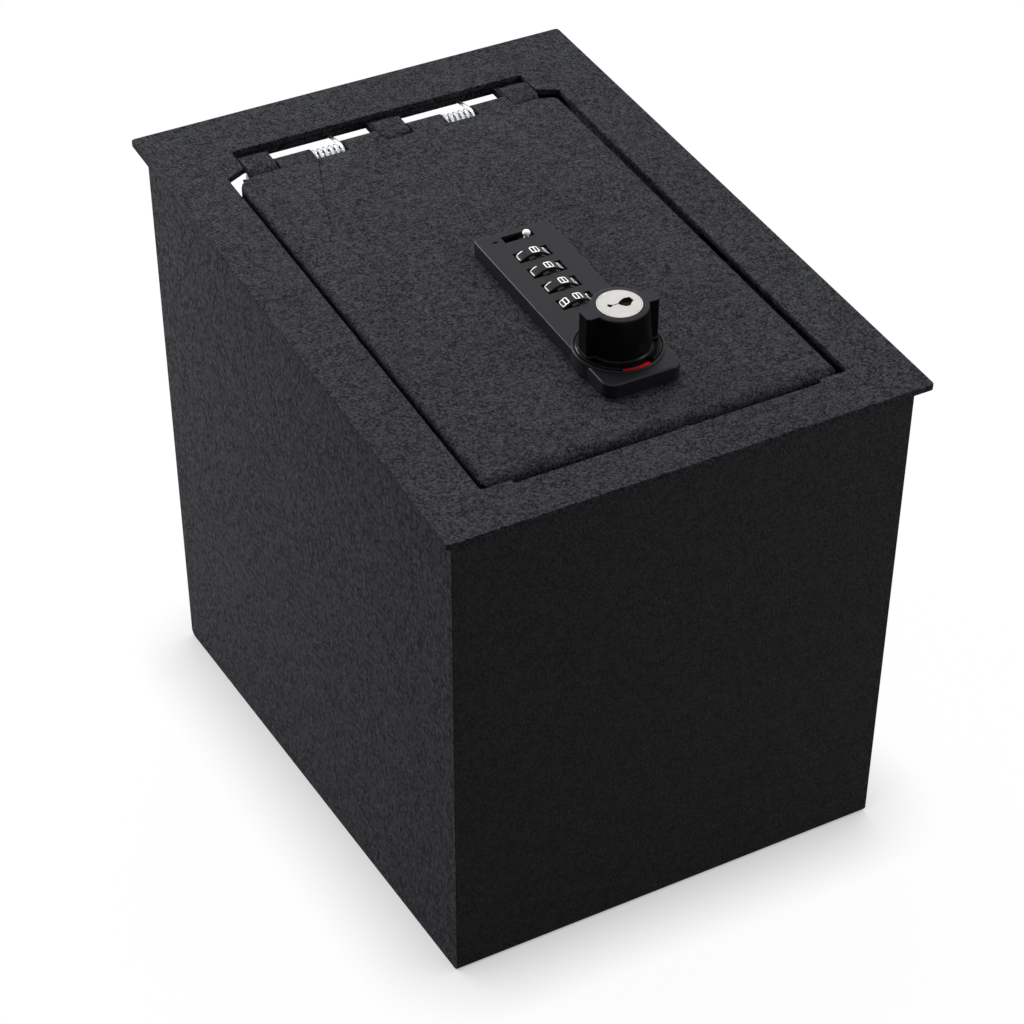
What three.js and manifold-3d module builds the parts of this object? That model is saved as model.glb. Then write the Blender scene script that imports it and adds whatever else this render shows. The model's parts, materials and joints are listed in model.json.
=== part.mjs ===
// Console safe: a folded steel box hung from a flat flange, with a flush hinged lid. A combination
// lock with a winged knob sits on the lid and drives three sliding bolts under it. The box has a
// bottom that slopes down to the rear, so the flange tilts forward when the safe stands on it.
//
// Everything is drawn in the flange's own frame and tilted once at the end. There X runs to the
// right, Y to the hinge, and Z up from the flange's top face, which is z = 0.

import * as THREE from "three";
import { mergeVertices } from "three/addons/utils/BufferGeometryUtils.js";
import Module from "manifold-3d";

const wasm = await Module();
wasm.setup();

// Driving dimensions, in mm

// Sheet and flange
const sheet = 2.8; // 12 gauge steel with its coat
const weldGap = 0.3; // joint line between welded or resting sheets
const flangeWidth = 200;
const flangeLength = 292;
const flangeCorner = 1.6;

// Box under the flange: how far each wall stands in from the flange's edge, and its depth
const wallInsetLeft = 2;
const wallInsetRight = 8;
const wallInsetFront = 1;
const wallInsetRear = 13;
const depthFront = 220;
const depthRear = 264.3;
const foldRadius = 3.2; // outside of a fold in the box
const reliefWidth = 147; // opening behind the hinge, in the rear wall
const reliefTop = 8; // below the flange's top face
const reliefHeight = 30;
const floorHole = 8.5; // bolt-down holes in the bottom
const floorHoleSpanX = 110;
const floorHoleSpanY = 170;

// Opening in the flange
const openingWidth = 152;
const openingFrontInset = 22; // from the flange's front edge, at the corners
const openingNotch = 2; // the middle of the front edge lies this much further forward
const openingNotchMargin = 12.4;
const openingCorner = 1.5;
const slotWidth = 134; // the hinge slot behind the opening
const slotRear = 14.5; // from the pin's axis to the slot's rear edge
const shoulderFront = 3.7; // the opening narrows to the slot between these two lines
const shoulderRear = 0.8;

// Hinge
const pinInset = 42.3; // pin's axis from the flange's rear edge
const pinDiameter = 6;
const pinPlay = 0.05; // on the radius
const pinProud = 0.25; // past the outer knuckles
const knuckleDiameter = 11.6;
const fixedKnuckle = 12.5; // width of a knuckle on the hinge leaf
const fixedKnuckleSideGap = 0.75; // from the outer knuckles to the slot's ends
const knuckleTail = 8.4; // how far a fixed knuckle's top runs behind the pin before it steps down
const knuckleGap = 0.55;
const springBay = 14.8; // free width between the lid's knuckles for a spring
const leafSideGap = 1; // from the leaf to the slot's ends
const leafRear = 11.7; // depth of the leaf behind the slot

// Hinge springs
const wireDiameter = 1.6;
const springMeanDiameter = 8.8;
const springTurns = 5;
const springSideGap = 0.35;
const springLegReach = 19.5; // from the pin's axis to the tip of the leg under the lid
const springLegGap = 0.5; // from the lid to that leg
const springLegStart = 142; // degrees round the pin, where that leg leaves the turns

// Lid
const lidSideGap = 2.5;
const lidFrontGap = 2;
const lidFrontBend = 5; // outside radii of the lid's folded edges
const lidSideBend = 3;
const lidCorner = 3.5;
const lidSkirt = 16; // depth of the folded edges below the top face
const lidRearEdge = 6.3; // from the pin's axis forward to the lid's edge between its knuckles
const lidShoulder = 3.5;
const lidTailGap = 1.5; // between the lid's narrow rear end and the slot
const lidTailCorner = 3;
const tightBend = 0.2; // least inside radius of a fold
const cornerRelief = 5;
const stopWidth = 18;
const stopReach = 6.5; // how far a stop runs in under the lid's side edge
const stopPlace = 114; // from the pin's axis forward to the middle of the stops

// Lock housing, measured from its own centre line and from the knob's axis
const lockOffset = 4; // the lock sits right of the flange's middle
const knobInset = 66.8; // knob's axis from the flange's front edge
const housingWidth = 32.5;
const housingLength = 107.4;
const housingFront = 21.2; // from the knob's axis to the housing's front end
const housingHeight = 6.3;
const housingWall = 1.7; // top wall over the dials
const housingRim = 4.95; // side wall
const housingFrontCorner = 5;
const housingRearCorner = 1.5;
const seatDiameter = 35; // round seat of the knob
const seatLip = 0.9;
const seatLipHeight = 0.7;
const seatDepth = 1.2;
const seatGap = 0.3; // between faces that rest on each other
const holeGap = 0.4; // round the lock's parts in their holes in the lid
const lap = 0.5; // how far shapes of one piece reach into each other

// Number wheels
const wheelCount = 4;
const wheelPitch = 11.6;
const firstWheel = 32.3; // from the knob's axis to the front wheel
const wheelDiameter = 19; // over the numbers
const wheelProud = 1.4; // numbers above the housing's top face
const wheelWidth = 6.4;
const ribDiameter = 17.4; // over the thumb ribs in front of the numbers
const ribWidth = 1.8;
const numbersPerWheel = 10;
const windowWidth = 14.6;
const windowLength = 7;
const axleDiameter = 3.2;
const axlePlay = 0.15;
const axleProud = 0.3;
const cheekThickness = 1.5;
const cheekWidth = 8;
const cheekDrop = 3; // below the axle
const cheekGap = 0.5;
const wheelHeadroom = 1.7; // from the wheels to the case's floor
const ribGroove = 3.4; // diameter of the cut between two thumb ribs
const ribGrooveOut = 0.6; // its middle outside the ribs
const gateDiameter = 11.2;
const gateGap = 0.1;
const gateWidth = 3.9;
const gateNotch = 2.6;
const gateNotchDepth = 1.9;
const fenceWidth = 4.8;
const fenceTooth = [2.2, 2.8]; // width and length of a tooth
const fenceGap = 0.4;
const combThickness = 0.5;
const combWidth = 4;
const combFinger = 0.8; // thickness of a finger at its root

// Code-change slider
const sliderSlotWidth = 13;
const sliderSlotLength = 4.4;
const sliderSlotBehind = 13.6; // from the rear wheel
const sliderSlotShift = 0.5; // slot's middle right of the lock's middle
const sliderRest = 3.8; // head's place right of the slot's middle
const sliderHead = 3.2;
const sliderHeadDrop = 0.6; // of the head's underside below the housing's top
const sliderStem = 2.2;
const sliderPlate = 6;
const sliderPlateThickness = 1.5;
const sliderProud = 1.2;
const markDiameter = 1.4; // round mark beside the slot
const markPlace = 9.3; // left of the lock's middle

// Lock body under the lid
const caseSideInset = 0.85;
const caseWall = 1.5;
const caseFront = 24.6; // from the knob's axis
const caseRearInset = 0.5;
const screwSpread = 24.4;
const screwFrontPlace = 27.7; // from the knob's axis
const screwRearInset = 2.9; // from the case's rear face
const screwDiameter = 2.6;
const screwPlay = 0.3; // on the diameter
const screwTop = 1.5; // tip above the flange's top face
const screwHeadDiameter = 5.2;
const screwHeadHeight = 1.8;
const screwSlot = [0.8, 0.8]; // width and depth
const screwBossDiameter = 4.4;
const sleeveWall = 3.6; // of the housing's sleeve round the spindle

// Knob, key plug and spindle
const knobHeight = 25; // top above the flange
const knobBossDiameter = 22.6; // round body at its top
const knobFootDiameter = 25; // round body where it meets the base
const knobRim = 0.7; // bevel round the top
const knobBaseDiameter = 32.2;
const knobBaseThickness = 1.6;
const knobSpan = 30.4; // over the two wings
const knobWingWidth = 7.6;
const knobWingCorner = 1.3;
const knobTurnAtRest = 0; // degrees, wings' line from X
const knobWeb = 1.2; // between the plug's bore and the spindle's
const plugFaceDiameter = 17.5;
const plugFaceThickness = 2.4;
const plugBarrelDiameter = 12.6;
const plugLength = 13;
const plugPlay = 0.2;
const plugProud = 0.3; // face above the knob
const plugBevel = 0.4;
const keyway = [2.2, 8.6, 8]; // width, length and depth
const keywayTurn = -5; // degrees from the wings' line
const keyDish = [1.2, 3.8, 0.9]; // bow-tie hollow round the keyway: waist, ends and depth
const spindleDiameter = 11.8;
const spindlePlay = 0.3;
const spindleTail = 7.8; // through the cam
const spindleTailPlay = 0.4;
const spindleThread = 5.8;
const threadProud = 0.6; // past the nut
const plugHeadroom = 1.8; // from the spindle's top to the key plug

// Indicators beside the knob
const indicatorSpan = 46; // degrees
const indicatorAngle = -89; // degrees from X, seen from above
const indicatorInner = 27.2; // diameters
const indicatorOuter = 31.8;
const indicatorThickness = 0.3;
const indicatorGap = 0.1; // over the seat
const indicatorMargin = 2; // degrees of the knob's window past each end

// Bolts and their cam
const boltThrow = 9;
const boltWidth = 12;
const boltThickness = 4;
const boltHeadroom = 1; // between the lid and the bolts
const boltTipInset = 0.4; // withdrawn bolt from the lid's outer face
const boltPlay = 0.3;
const boltTail = 3.5; // past the follower pin
const followerDiameter = 4;
const followerPlay = 0.2;
const followerProud = 0.8; // below the cam
const followerRest = 11; // radius on the cam when the bolt is withdrawn
const camGap = 1;
const camThickness = 3;
const camRim = 1.3; // outside the slots
const camTurn = 90; // degrees
const nutWidth = 10;
const nutHeight = 3.9;
const guideLength = 10;
const guideWall = 2.3;
const guideFoot = 6;
const guideReachSide = 54; // from the knob's axis to the side guides
const guideReachFront = 30.8;

// Roundness of turned pieces
const fineSteps = 32;
const coarseSteps = 20;

// Derived places

const knucklePitch = (slotWidth - fixedKnuckle) / 2 - fixedKnuckleSideGap;
const lidKnuckle = (knucklePitch - fixedKnuckle - springBay) / 2 - knuckleGap;
const pinY = flangeLength / 2 - pinInset;
const pinZ = -knuckleDiameter / 2;
const wallLeft = -flangeWidth / 2 + wallInsetLeft;
const wallRight = flangeWidth / 2 - wallInsetRight;
const wallFront = -flangeLength / 2 + wallInsetFront;
const wallRear = flangeLength / 2 - wallInsetRear;
const wallTop = -sheet - weldGap;
const slope = Math.atan2(depthRear - depthFront, wallRear - wallFront);
const slotRearY = pinY + slotRear;
const openingFrontY = -flangeLength / 2 + openingFrontInset;

const lidHalf = openingWidth / 2 - lidSideGap;
const lidFrontY = openingFrontY + lidFrontGap;
const lidRearY = pinY - lidRearEdge;
const lidUnder = -sheet;
const lidTail = slotWidth / 2 - lidTailGap; // half the lid's width at its narrow rear end

const knobY = -flangeLength / 2 + knobInset;
const housingFrontY = knobY - housingFront;
const housingRearY = housingFrontY + housingLength;
const ceiling = housingHeight - housingWall; // underside of the housing's top wall
const seatFloor = housingHeight - seatDepth;
const axleZ = housingHeight + wheelProud - wheelDiameter / 2;
const wheelY = (index) => knobY + firstWheel + index * wheelPitch;
const sliderY = wheelY(wheelCount - 1) + sliderSlotBehind;
const sliderSlotX = lockOffset + sliderSlotShift;
const cheekFront = wheelY(0) - wheelWidth / 2 - cheekGap;
const cheekRear = wheelY(wheelCount - 1) + wheelWidth / 2 + gateGap + gateWidth + cheekGap;
const caseTop = lidUnder - seatGap;
const caseFloor = axleZ - wheelDiameter / 2 - wheelHeadroom;
const caseHalf = housingWidth / 2 - caseSideInset;
const caseFrontY = knobY + caseFront;
const caseRearY = housingRearY - caseRearInset;
const screwPlaces = [knobY + screwFrontPlace, caseRearY - screwRearInset];

const boltTop = lidUnder - boltHeadroom;
const boltBottom = boltTop - boltThickness;
const camTop = boltBottom - camGap;
const camBottom = camTop - camThickness;
const knobBottom = seatFloor + indicatorGap + indicatorThickness + seatGap;
const sleeveDiameter = spindleDiameter + 2 * sleeveWall;
const followerClearance = followerDiameter / 2 + boltPlay;
const camRadius = followerRest + boltThrow + followerClearance + camRim;

const finishes = {
  powderCoat: { color: 0x2f3134, roughness: 0.62, metalness: 0 },
  zinc: { color: 0xc4c7ca, roughness: 0.3, metalness: 0.9 },
  nickel: { color: 0xc9c5bd, roughness: 0.28, metalness: 0.95 },
  satinBlack: { color: 0x2c2d30, roughness: 0.4, metalness: 0.1 },
  glossBlack: { color: 0x0b0b0c, roughness: 0.18, metalness: 0 },
  wheelBlack: { color: 0x101112, roughness: 0.35, metalness: 0 },
  white: { color: 0xf2f2f0, roughness: 0.4, metalness: 0 },
  red: { color: 0xd0131f, roughness: 0.4, metalness: 0 },
  green: { color: 0x1f9a4a, roughness: 0.4, metalness: 0 },
  brass: { color: 0xb8964f, roughness: 0.35, metalness: 0.9 },
};

// Shape helpers

// A closed outline from corners [x, y, radius], with each corner rounded by an arc.
function outline(corners, steps = 4) {
  const points = [];
  corners.forEach(([x, y, radius = 0], i) => {
    const corner = new THREE.Vector2(x, y);
    const [px, py] = corners[(i + corners.length - 1) % corners.length];
    const [nx, ny] = corners[(i + 1) % corners.length];
    if (radius <= 0) {
      points.push(corner);
      return;
    }
    const back = new THREE.Vector2(px, py).sub(corner).normalize();
    const on = new THREE.Vector2(nx, ny).sub(corner).normalize();
    const half = Math.acos(back.dot(on)) / 2;
    const centre = back.clone().add(on).normalize().multiplyScalar(radius / Math.sin(half)).add(corner);
    const start = back.multiplyScalar(radius / Math.tan(half)).add(corner).sub(centre);
    const end = on.multiplyScalar(radius / Math.tan(half)).add(corner).sub(centre);
    const from = start.angle();
    let sweep = end.angle() - from;
    if (sweep > Math.PI) sweep -= 2 * Math.PI;
    if (sweep < -Math.PI) sweep += 2 * Math.PI;
    for (let k = 0; k <= steps; k++) {
      const angle = from + (sweep * k) / steps;
      points.push(new THREE.Vector2(Math.cos(angle), Math.sin(angle)).multiplyScalar(radius).add(centre));
    }
  });
  return points;
}

function extruded(points, length, holes = []) {
  const shape = new THREE.Shape(points);
  shape.holes = holes.map((hole) => new THREE.Path(hole));
  return new THREE.ExtrudeGeometry(shape, { depth: length, bevelEnabled: false });
}

// An outline in X and Y, between two heights.
function plate(points, low, high, holes = []) {
  return extruded(points, high - low, holes).translate(0, 0, low);
}

// An outline in Y and Z, between two places along X.
function acrossX(points, left, right) {
  const turn = new THREE.Matrix4().makeBasis(
    new THREE.Vector3(0, 1, 0), new THREE.Vector3(0, 0, 1), new THREE.Vector3(1, 0, 0));
  return extruded(points, right - left).applyMatrix4(turn).translate(left, 0, 0);
}

// An outline in X and Z, between two places along Y.
function alongY(points, front, rear) {
  const turn = new THREE.Matrix4().makeBasis(
    new THREE.Vector3(1, 0, 0), new THREE.Vector3(0, 0, 1), new THREE.Vector3(0, -1, 0));
  return extruded(points, rear - front).applyMatrix4(turn).translate(0, rear, 0);
}

function block([x0, x1], [y0, y1], [z0, z1]) {
  const box = new THREE.BoxGeometry(x1 - x0, y1 - y0, z1 - z0);
  return box.translate((x0 + x1) / 2, (y0 + y1) / 2, (z0 + z1) / 2);
}

// A round bar along X, Y or Z between two places, through a centre given by the other two axes.
function bar(axis, diameter, from, to, centre, steps = fineSteps) {
  const geometry = new THREE.CylinderGeometry(diameter / 2, diameter / 2, to - from, steps);
  if (axis === "x") geometry.rotateZ(-Math.PI / 2).translate((from + to) / 2, centre[0], centre[1]);
  if (axis === "y") geometry.translate(centre[0], (from + to) / 2, centre[1]);
  if (axis === "z") geometry.rotateX(Math.PI / 2).translate(centre[0], centre[1], (from + to) / 2);
  return geometry;
}

// The diameter of a many-sided hole whose flats stand at the given diameter.
function bore(diameter, steps = fineSteps) {
  return diameter / Math.cos(Math.PI / steps);
}

// A turned piece about Z from [radius, z] points that start and end on the axis.
function turned(profile, steps = fineSteps) {
  const points = profile.map(([radius, z]) => new THREE.Vector2(radius, z));
  return new THREE.LatheGeometry(points, steps).rotateX(Math.PI / 2);
}

function solid(geometry) {
  const bare = geometry.clone();
  bare.deleteAttribute("normal");
  bare.deleteAttribute("uv");
  const merged = mergeVertices(bare, 1e-4);
  const vertProperties = new Float32Array(merged.attributes.position.array);
  const triVerts = new Uint32Array(merged.index.array);
  return new wasm.Manifold(new wasm.Mesh({ numProp: 3, vertProperties, triVerts }));
}

function geometryOf(manifold) {
  const mesh = manifold.getMesh();
  const geometry = new THREE.BufferGeometry();
  geometry.setAttribute("position", new THREE.BufferAttribute(mesh.vertProperties, 3));
  geometry.setIndex(new THREE.BufferAttribute(mesh.triVerts, 1));
  geometry.computeVertexNormals();
  return geometry;
}

function join(first, ...others) {
  return others.reduce((sum, other) => sum.add(solid(other)), solid(first));
}

function cut(manifold, ...tools) {
  return tools.reduce((rest, tool) => rest.subtract(solid(tool)), manifold);
}

// Root of the scene: an upright group that holds the tilted one.
const safe = new THREE.Group();
const tilted = new THREE.Group();
safe.add(tilted);

function piece(parent, name, shape, finish) {
  const geometry = shape.isBufferGeometry ? shape : geometryOf(shape);
  const mesh = new THREE.Mesh(geometry, new THREE.MeshStandardMaterial(finishes[finish]));
  mesh.name = name;
  parent.add(mesh);
  return mesh;
}

// Flange and box

function openingOutline() {
  const half = openingWidth / 2;
  const slot = slotWidth / 2;
  const notchY = openingFrontY - openingNotch;
  const notchX = half - openingNotchMargin;
  return outline([
    [-half, openingFrontY, openingCorner], [-notchX, openingFrontY], [-notchX, notchY],
    [notchX, notchY], [notchX, openingFrontY], [half, openingFrontY, openingCorner],
    [half, pinY - shoulderFront], [slot, pinY + shoulderRear], [slot, slotRearY, openingCorner],
    [-slot, slotRearY, openingCorner], [-slot, pinY + shoulderRear], [-half, pinY - shoulderFront],
  ]);
}

function flangePlate() {
  const [x, y] = [flangeWidth / 2, flangeLength / 2];
  const edge = outline([[-x, -y], [x, -y], [x, y], [-x, y]].map((p) => [...p, flangeCorner]));
  return plate(edge, -sheet, 0, [openingOutline()]);
}

// Bolt-down holes, measured along the bottom from its middle.
function floorHoleSpots() {
  return [-1, 1].flatMap((x) => [-1, 1].map((y) => [(x * floorHoleSpanX) / 2, (y * floorHoleSpanY) / 2]));
}

// Front wall, sloping bottom and rear wall, folded from one sheet between the side panels.
function bodyWrap() {
  const inner = foldRadius - sheet;
  const drop = sheet / Math.cos(slope);
  const perSheet = sheet * Math.tan(slope);
  const profile = outline([
    [wallFront, wallTop], [wallFront, -depthFront, foldRadius], [wallRear, -depthRear, foldRadius],
    [wallRear, wallTop], [wallRear - sheet, wallTop],
    [wallRear - sheet, -depthRear + drop + perSheet, inner],
    [wallFront + sheet, -depthFront + drop - perSheet, inner], [wallFront + sheet, wallTop],
  ]);
  const left = wallLeft + sheet + weldGap;
  const right = wallRight - sheet - weldGap;
  const middle = (left + right) / 2;
  const relief = block([middle - reliefWidth / 2, middle + reliefWidth / 2],
    [wallRear - 2 * sheet, wallRear + sheet], [-reliefTop - reliefHeight, -reliefTop]);
  const holes = floorHoleSpots().map(([x, along]) => bar("z", floorHole, -3 * sheet, 3 * sheet, [x, along])
    .rotateX(-slope).translate(middle, (wallFront + wallRear) / 2, -(depthFront + depthRear) / 2));
  return cut(solid(acrossX(profile, left, right)), relief, ...holes);
}

function sidePanel(outerX, inward) {
  const edge = [
    [wallFront, wallTop], [wallFront, -depthFront], [wallRear, -depthRear], [wallRear, wallTop],
  ].map(([y, z]) => new THREE.Vector2(y, z));
  return acrossX(edge, Math.min(outerX, outerX + inward * sheet), Math.max(outerX, outerX + inward * sheet));
}

// A flat tab from the side wall to under the lid's side edge.
function lidStop(side) {
  const wall = side < 0 ? wallLeft + sheet + weldGap : wallRight - sheet - weldGap;
  const [near, far] = [wall, side * (lidHalf - stopReach)].sort((a, b) => a - b);
  const middle = pinY - stopPlace;
  const top = -lidSkirt - weldGap;
  return block([near, far], [middle - stopWidth / 2, middle + stopWidth / 2], [top - sheet, top]);
}

// Hinge

function knuckleRing(left, right) {
  return bar("x", knuckleDiameter, left, right, [pinY, pinZ]);
}

function pinBore(left, right) {
  return bar("x", bore(pinDiameter + 2 * pinPlay), left, right, [pinY, pinZ]);
}

// The leaf's tongues step up behind the pin and curl round it.
function hingeLeaf() {
  const half = slotWidth / 2 - leafSideGap;
  const height = [wallTop - sheet, wallTop];
  const rear = Math.min(slotRearY + leafRear, wallRear - sheet - weldGap);
  const step = pinY + knuckleTail;
  let leaf = solid(block([-half, half], [slotRearY, rear], height));
  for (const index of [-1, 0, 1]) {
    const left = index * knucklePitch - fixedKnuckle / 2;
    const right = left + fixedKnuckle;
    leaf = leaf.add(join(knuckleRing(left, right),
      block([left, right], [pinY, step], [-sheet, 0]),
      block([left, right], [step - sheet, step], [wallTop - sheet, 0]),
      block([left, right], [step - sheet, slotRearY + lap], height)));
  }
  return cut(leaf, pinBore(-slotWidth / 2, slotWidth / 2));
}

function hingePin() {
  const half = knucklePitch + fixedKnuckle / 2 + pinProud;
  return bar("x", pinDiameter, -half, half, [pinY, pinZ]);
}

// The centre line of a spring: a leg under the lid, the turns, and a leg back to the hinge leaf.
function springLine() {
  const radius = springMeanDiameter / 2;
  const pitch = (springBay - 2 * springSideGap - wireDiameter) / springTurns;
  const legZ = lidUnder - pinZ - springLegGap - wireDiameter / 2;
  const restTip = new THREE.Vector2(slotRear - seatGap, wallTop - sheet / 2 - pinZ);
  const start = THREE.MathUtils.degToRad(springLegStart);
  const end = restTip.angle() + Math.acos(radius / restTip.length());
  const turn = 2 * Math.PI * springTurns + start - end;
  const steps = Math.round((turn / (2 * Math.PI)) * 8);
  const width = (pitch * turn) / (2 * Math.PI);
  const line = [];
  const first = new THREE.Vector2(Math.cos(start), Math.sin(start)).multiplyScalar(radius);
  const lead = (first.y - legZ) / Math.sin(start - Math.PI / 2);
  const bendY = first.x + lead * Math.cos(start + Math.PI / 2);
  line.push([0, -springLegReach, legZ], [0, bendY, legZ]);
  for (let i = 0; i <= steps; i++) {
    const angle = start - (turn * i) / steps;
    line.push([(width * i) / steps, radius * Math.cos(angle), radius * Math.sin(angle)]);
  }
  line.push([width, restTip.x, restTip.y]);
  return line.map(([x, y, z]) => new THREE.Vector3(x - width / 2, pinY + y, pinZ + z));
}

// The least distance between two stretches of the wire that are over half a turn apart.
function leastGap(line) {
  let least = Infinity;
  const fine = [];
  for (let i = 0; i + 1 < line.length; i++) {
    for (let k = 0; k < 6; k++) fine.push([i + k / 6, line[i].clone().lerp(line[i + 1], k / 6)]);
  }
  for (const [i, a] of fine) {
    for (const [j, b] of fine) if (j - i > 4) least = Math.min(least, a.distanceTo(b));
  }
  return least - wireDiameter;
}

// A closed round wire along a line of points, with a flat end at each side.
function wire(line, diameter, sides = 5) {
  const positions = [];
  const index = [];
  const direction = (i) => line[Math.min(i + 1, line.length - 1)].clone()
    .sub(line[Math.max(i - 1, 0)]).normalize();
  let across = new THREE.Vector3(1, 0, 0);
  line.forEach((point, i) => {
    const along = direction(i);
    across = across.clone().addScaledVector(along, -across.dot(along)).normalize();
    const up = new THREE.Vector3().crossVectors(along, across);
    for (let k = 0; k < sides; k++) {
      const angle = (2 * Math.PI * k) / sides;
      const rim = point.clone().addScaledVector(across, (Math.cos(angle) * diameter) / 2);
      positions.push(...rim.addScaledVector(up, (Math.sin(angle) * diameter) / 2));
    }
  });
  const last = (line.length - 1) * sides;
  for (let i = 0; i + 1 < line.length; i++) {
    for (let k = 0; k < sides; k++) {
      const [a, b] = [i * sides + k, i * sides + ((k + 1) % sides)];
      index.push(a, b, b + sides, a, b + sides, a + sides);
    }
  }
  for (let k = 1; k + 1 < sides; k++) index.push(0, k + 1, k, last, last + k, last + k + 1);
  const geometry = new THREE.BufferGeometry();
  geometry.setAttribute("position", new THREE.Float32BufferAttribute(positions, 3));
  geometry.setIndex(index);
  geometry.computeVertexNormals();
  return geometry;
}

// Lid

// The lid's outer form, or its hollow when it is drawn one sheet further in.
function lidForm(inset) {
  const half = lidHalf - inset;
  const front = lidFrontY + inset;
  const top = -inset;
  const low = -lidSkirt - 2 * inset;
  const radius = (outside) => Math.max(outside - inset, tightBend);
  const lean = Math.atan2(lidShoulder, lidHalf - lidTail);
  const rear = lidRearY - (inset * (1 - Math.sin(lean))) / Math.cos(lean);
  const tail = lidTail - inset;
  const plan = outline([
    [-half, front, radius(lidCorner)], [half, front, radius(lidCorner)],
    [half, rear - lidShoulder, radius(lidCorner)], [tail, rear, radius(lidTailCorner)],
    [-tail, rear, radius(lidTailCorner)], [-half, rear - lidShoulder, radius(lidCorner)],
  ]);
  const side = outline([
    [front, low], [rear, low], [rear, top], [front, top, radius(lidFrontBend)],
  ]);
  const section = outline([
    [-half, low], [half, low], [half, top, radius(lidSideBend)], [-half, top, radius(lidSideBend)],
  ]);
  return solid(plate(plan, low, top))
    .intersect(solid(acrossX(side, -half, half)))
    .intersect(solid(alongY(section, front, rear)));
}

function lidKnuckles() {
  const near = fixedKnuckle / 2 + knuckleGap;
  const far = knucklePitch - near - lidKnuckle;
  return [near, far].flatMap((left) => [[left, left + lidKnuckle], [-left - lidKnuckle, -left]]);
}

function lidPanel() {
  const openRear = lidTail - sheet;
  let lid = cut(lidForm(0).subtract(lidForm(sheet)),
    block([-openRear, openRear], [lidRearY - lidShoulder, pinY], [-lidSkirt - 1, lidUnder]));
  for (const side of [-1, 1]) {
    const [a, b] = [side * (lidHalf + 1), side * (lidHalf - cornerRelief)].sort((p, q) => p - q);
    const reliefZ = [-lidSkirt - 1, -lidFrontBend];
    lid = cut(lid, block([a, b], [lidFrontY - 1, lidFrontY + cornerRelief], reliefZ));
  }
  for (const [left, right] of lidKnuckles()) {
    lid = lid.add(join(knuckleRing(left, right),
      block([left, right], [lidRearY - 1, pinY], [lidUnder, 0])));
  }
  const [play, half] = [boltPlay, boltWidth / 2 + boltPlay];
  const windowZ = [boltBottom - play, boltTop + play];
  return cut(lid, pinBore(-slotWidth / 2, slotWidth / 2),
    block([-lidHalf - 1, lidHalf + 1], [knobY - half, knobY + half], windowZ),
    block([lockOffset - half, lockOffset + half], [lidFrontY - 1, knobY], windowZ),
    block([lockOffset - wheelDiameter / 2 - holeGap, lockOffset + wheelDiameter / 2 + holeGap],
      [cheekFront - cheekThickness - holeGap, cheekRear + cheekThickness + holeGap], [lidUnder - 1, 1]),
    bar("z", sleeveDiameter + 2 * holeGap, lidUnder - 1, 1, [lockOffset, knobY]),
    ...screwSpots().map((spot) => (
      bar("z", screwBossDiameter + 2 * holeGap, lidUnder - 1, 1, spot, coarseSteps))));
}

// Lock

function screwSpots() {
  return [-1, 1].flatMap((side) => screwPlaces.map((y) => [lockOffset + (side * screwSpread) / 2, y]));
}

function lockHousing() {
  const low = seatGap;
  const half = housingWidth / 2;
  const centre = [lockOffset, knobY];
  const [left, right] = [lockOffset - half, lockOffset + half];
  const edge = outline([
    [left, housingFrontY, housingFrontCorner], [right, housingFrontY, housingFrontCorner],
    [right, housingRearY, housingRearCorner], [left, housingRearY, housingRearCorner],
  ]);
  let body = join(plate(edge, low, housingHeight),
    bar("z", seatDiameter, low, housingHeight + seatLipHeight, centre, 48));
  const pocket = [left + housingRim, right - housingRim];
  body = cut(body,
    bar("z", seatDiameter - 2 * seatLip, seatFloor, housingHeight + 2, centre, 48),
    block(pocket, [cheekFront - cheekThickness, housingRearY - housingWall], [low - 1, ceiling]));
  for (let i = 0; i < wheelCount; i++) {
    body = cut(body, block([lockOffset - windowWidth / 2, lockOffset + windowWidth / 2],
      [wheelY(i) - windowLength / 2, wheelY(i) + windowLength / 2], [ceiling - 1, housingHeight + 1]));
  }
  body = cut(body,
    block([sliderSlotX - sliderSlotWidth / 2, sliderSlotX + sliderSlotWidth / 2],
      [sliderY - sliderSlotLength / 2, sliderY + sliderSlotLength / 2], [ceiling - 1, housingHeight + 1]),
    bar("z", markDiameter, ceiling - 1, housingHeight + 1, [lockOffset - markPlace, sliderY], 12));
  for (const y of [cheekFront - cheekThickness, cheekRear]) {
    const cheek = block([lockOffset - cheekWidth / 2, lockOffset + cheekWidth / 2],
      [y, y + cheekThickness], [axleZ - cheekDrop, ceiling + lap]);
    body = body.add(solid(cheek));
  }
  for (const spot of screwSpots()) {
    const boss = bar("z", screwBossDiameter, caseTop, ceiling + lap, spot, coarseSteps);
    body = body.add(solid(boss));
    body = cut(body,
      bar("z", bore(screwDiameter + screwPlay, 12), caseTop - 1, screwTop + lap, spot, 12));
  }
  body = body.add(solid(bar("z", sleeveDiameter, lidUnder, low + lap, centre)));
  return cut(body, bar("z", bore(spindleDiameter + spindlePlay), lidUnder - 1, housingHeight, centre),
    bar("y", bore(axleDiameter + 2 * pinPlay, coarseSteps), cheekFront - 2 * cheekThickness,
      cheekRear + 2 * cheekThickness, [lockOffset, axleZ], coarseSteps));
}

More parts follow.
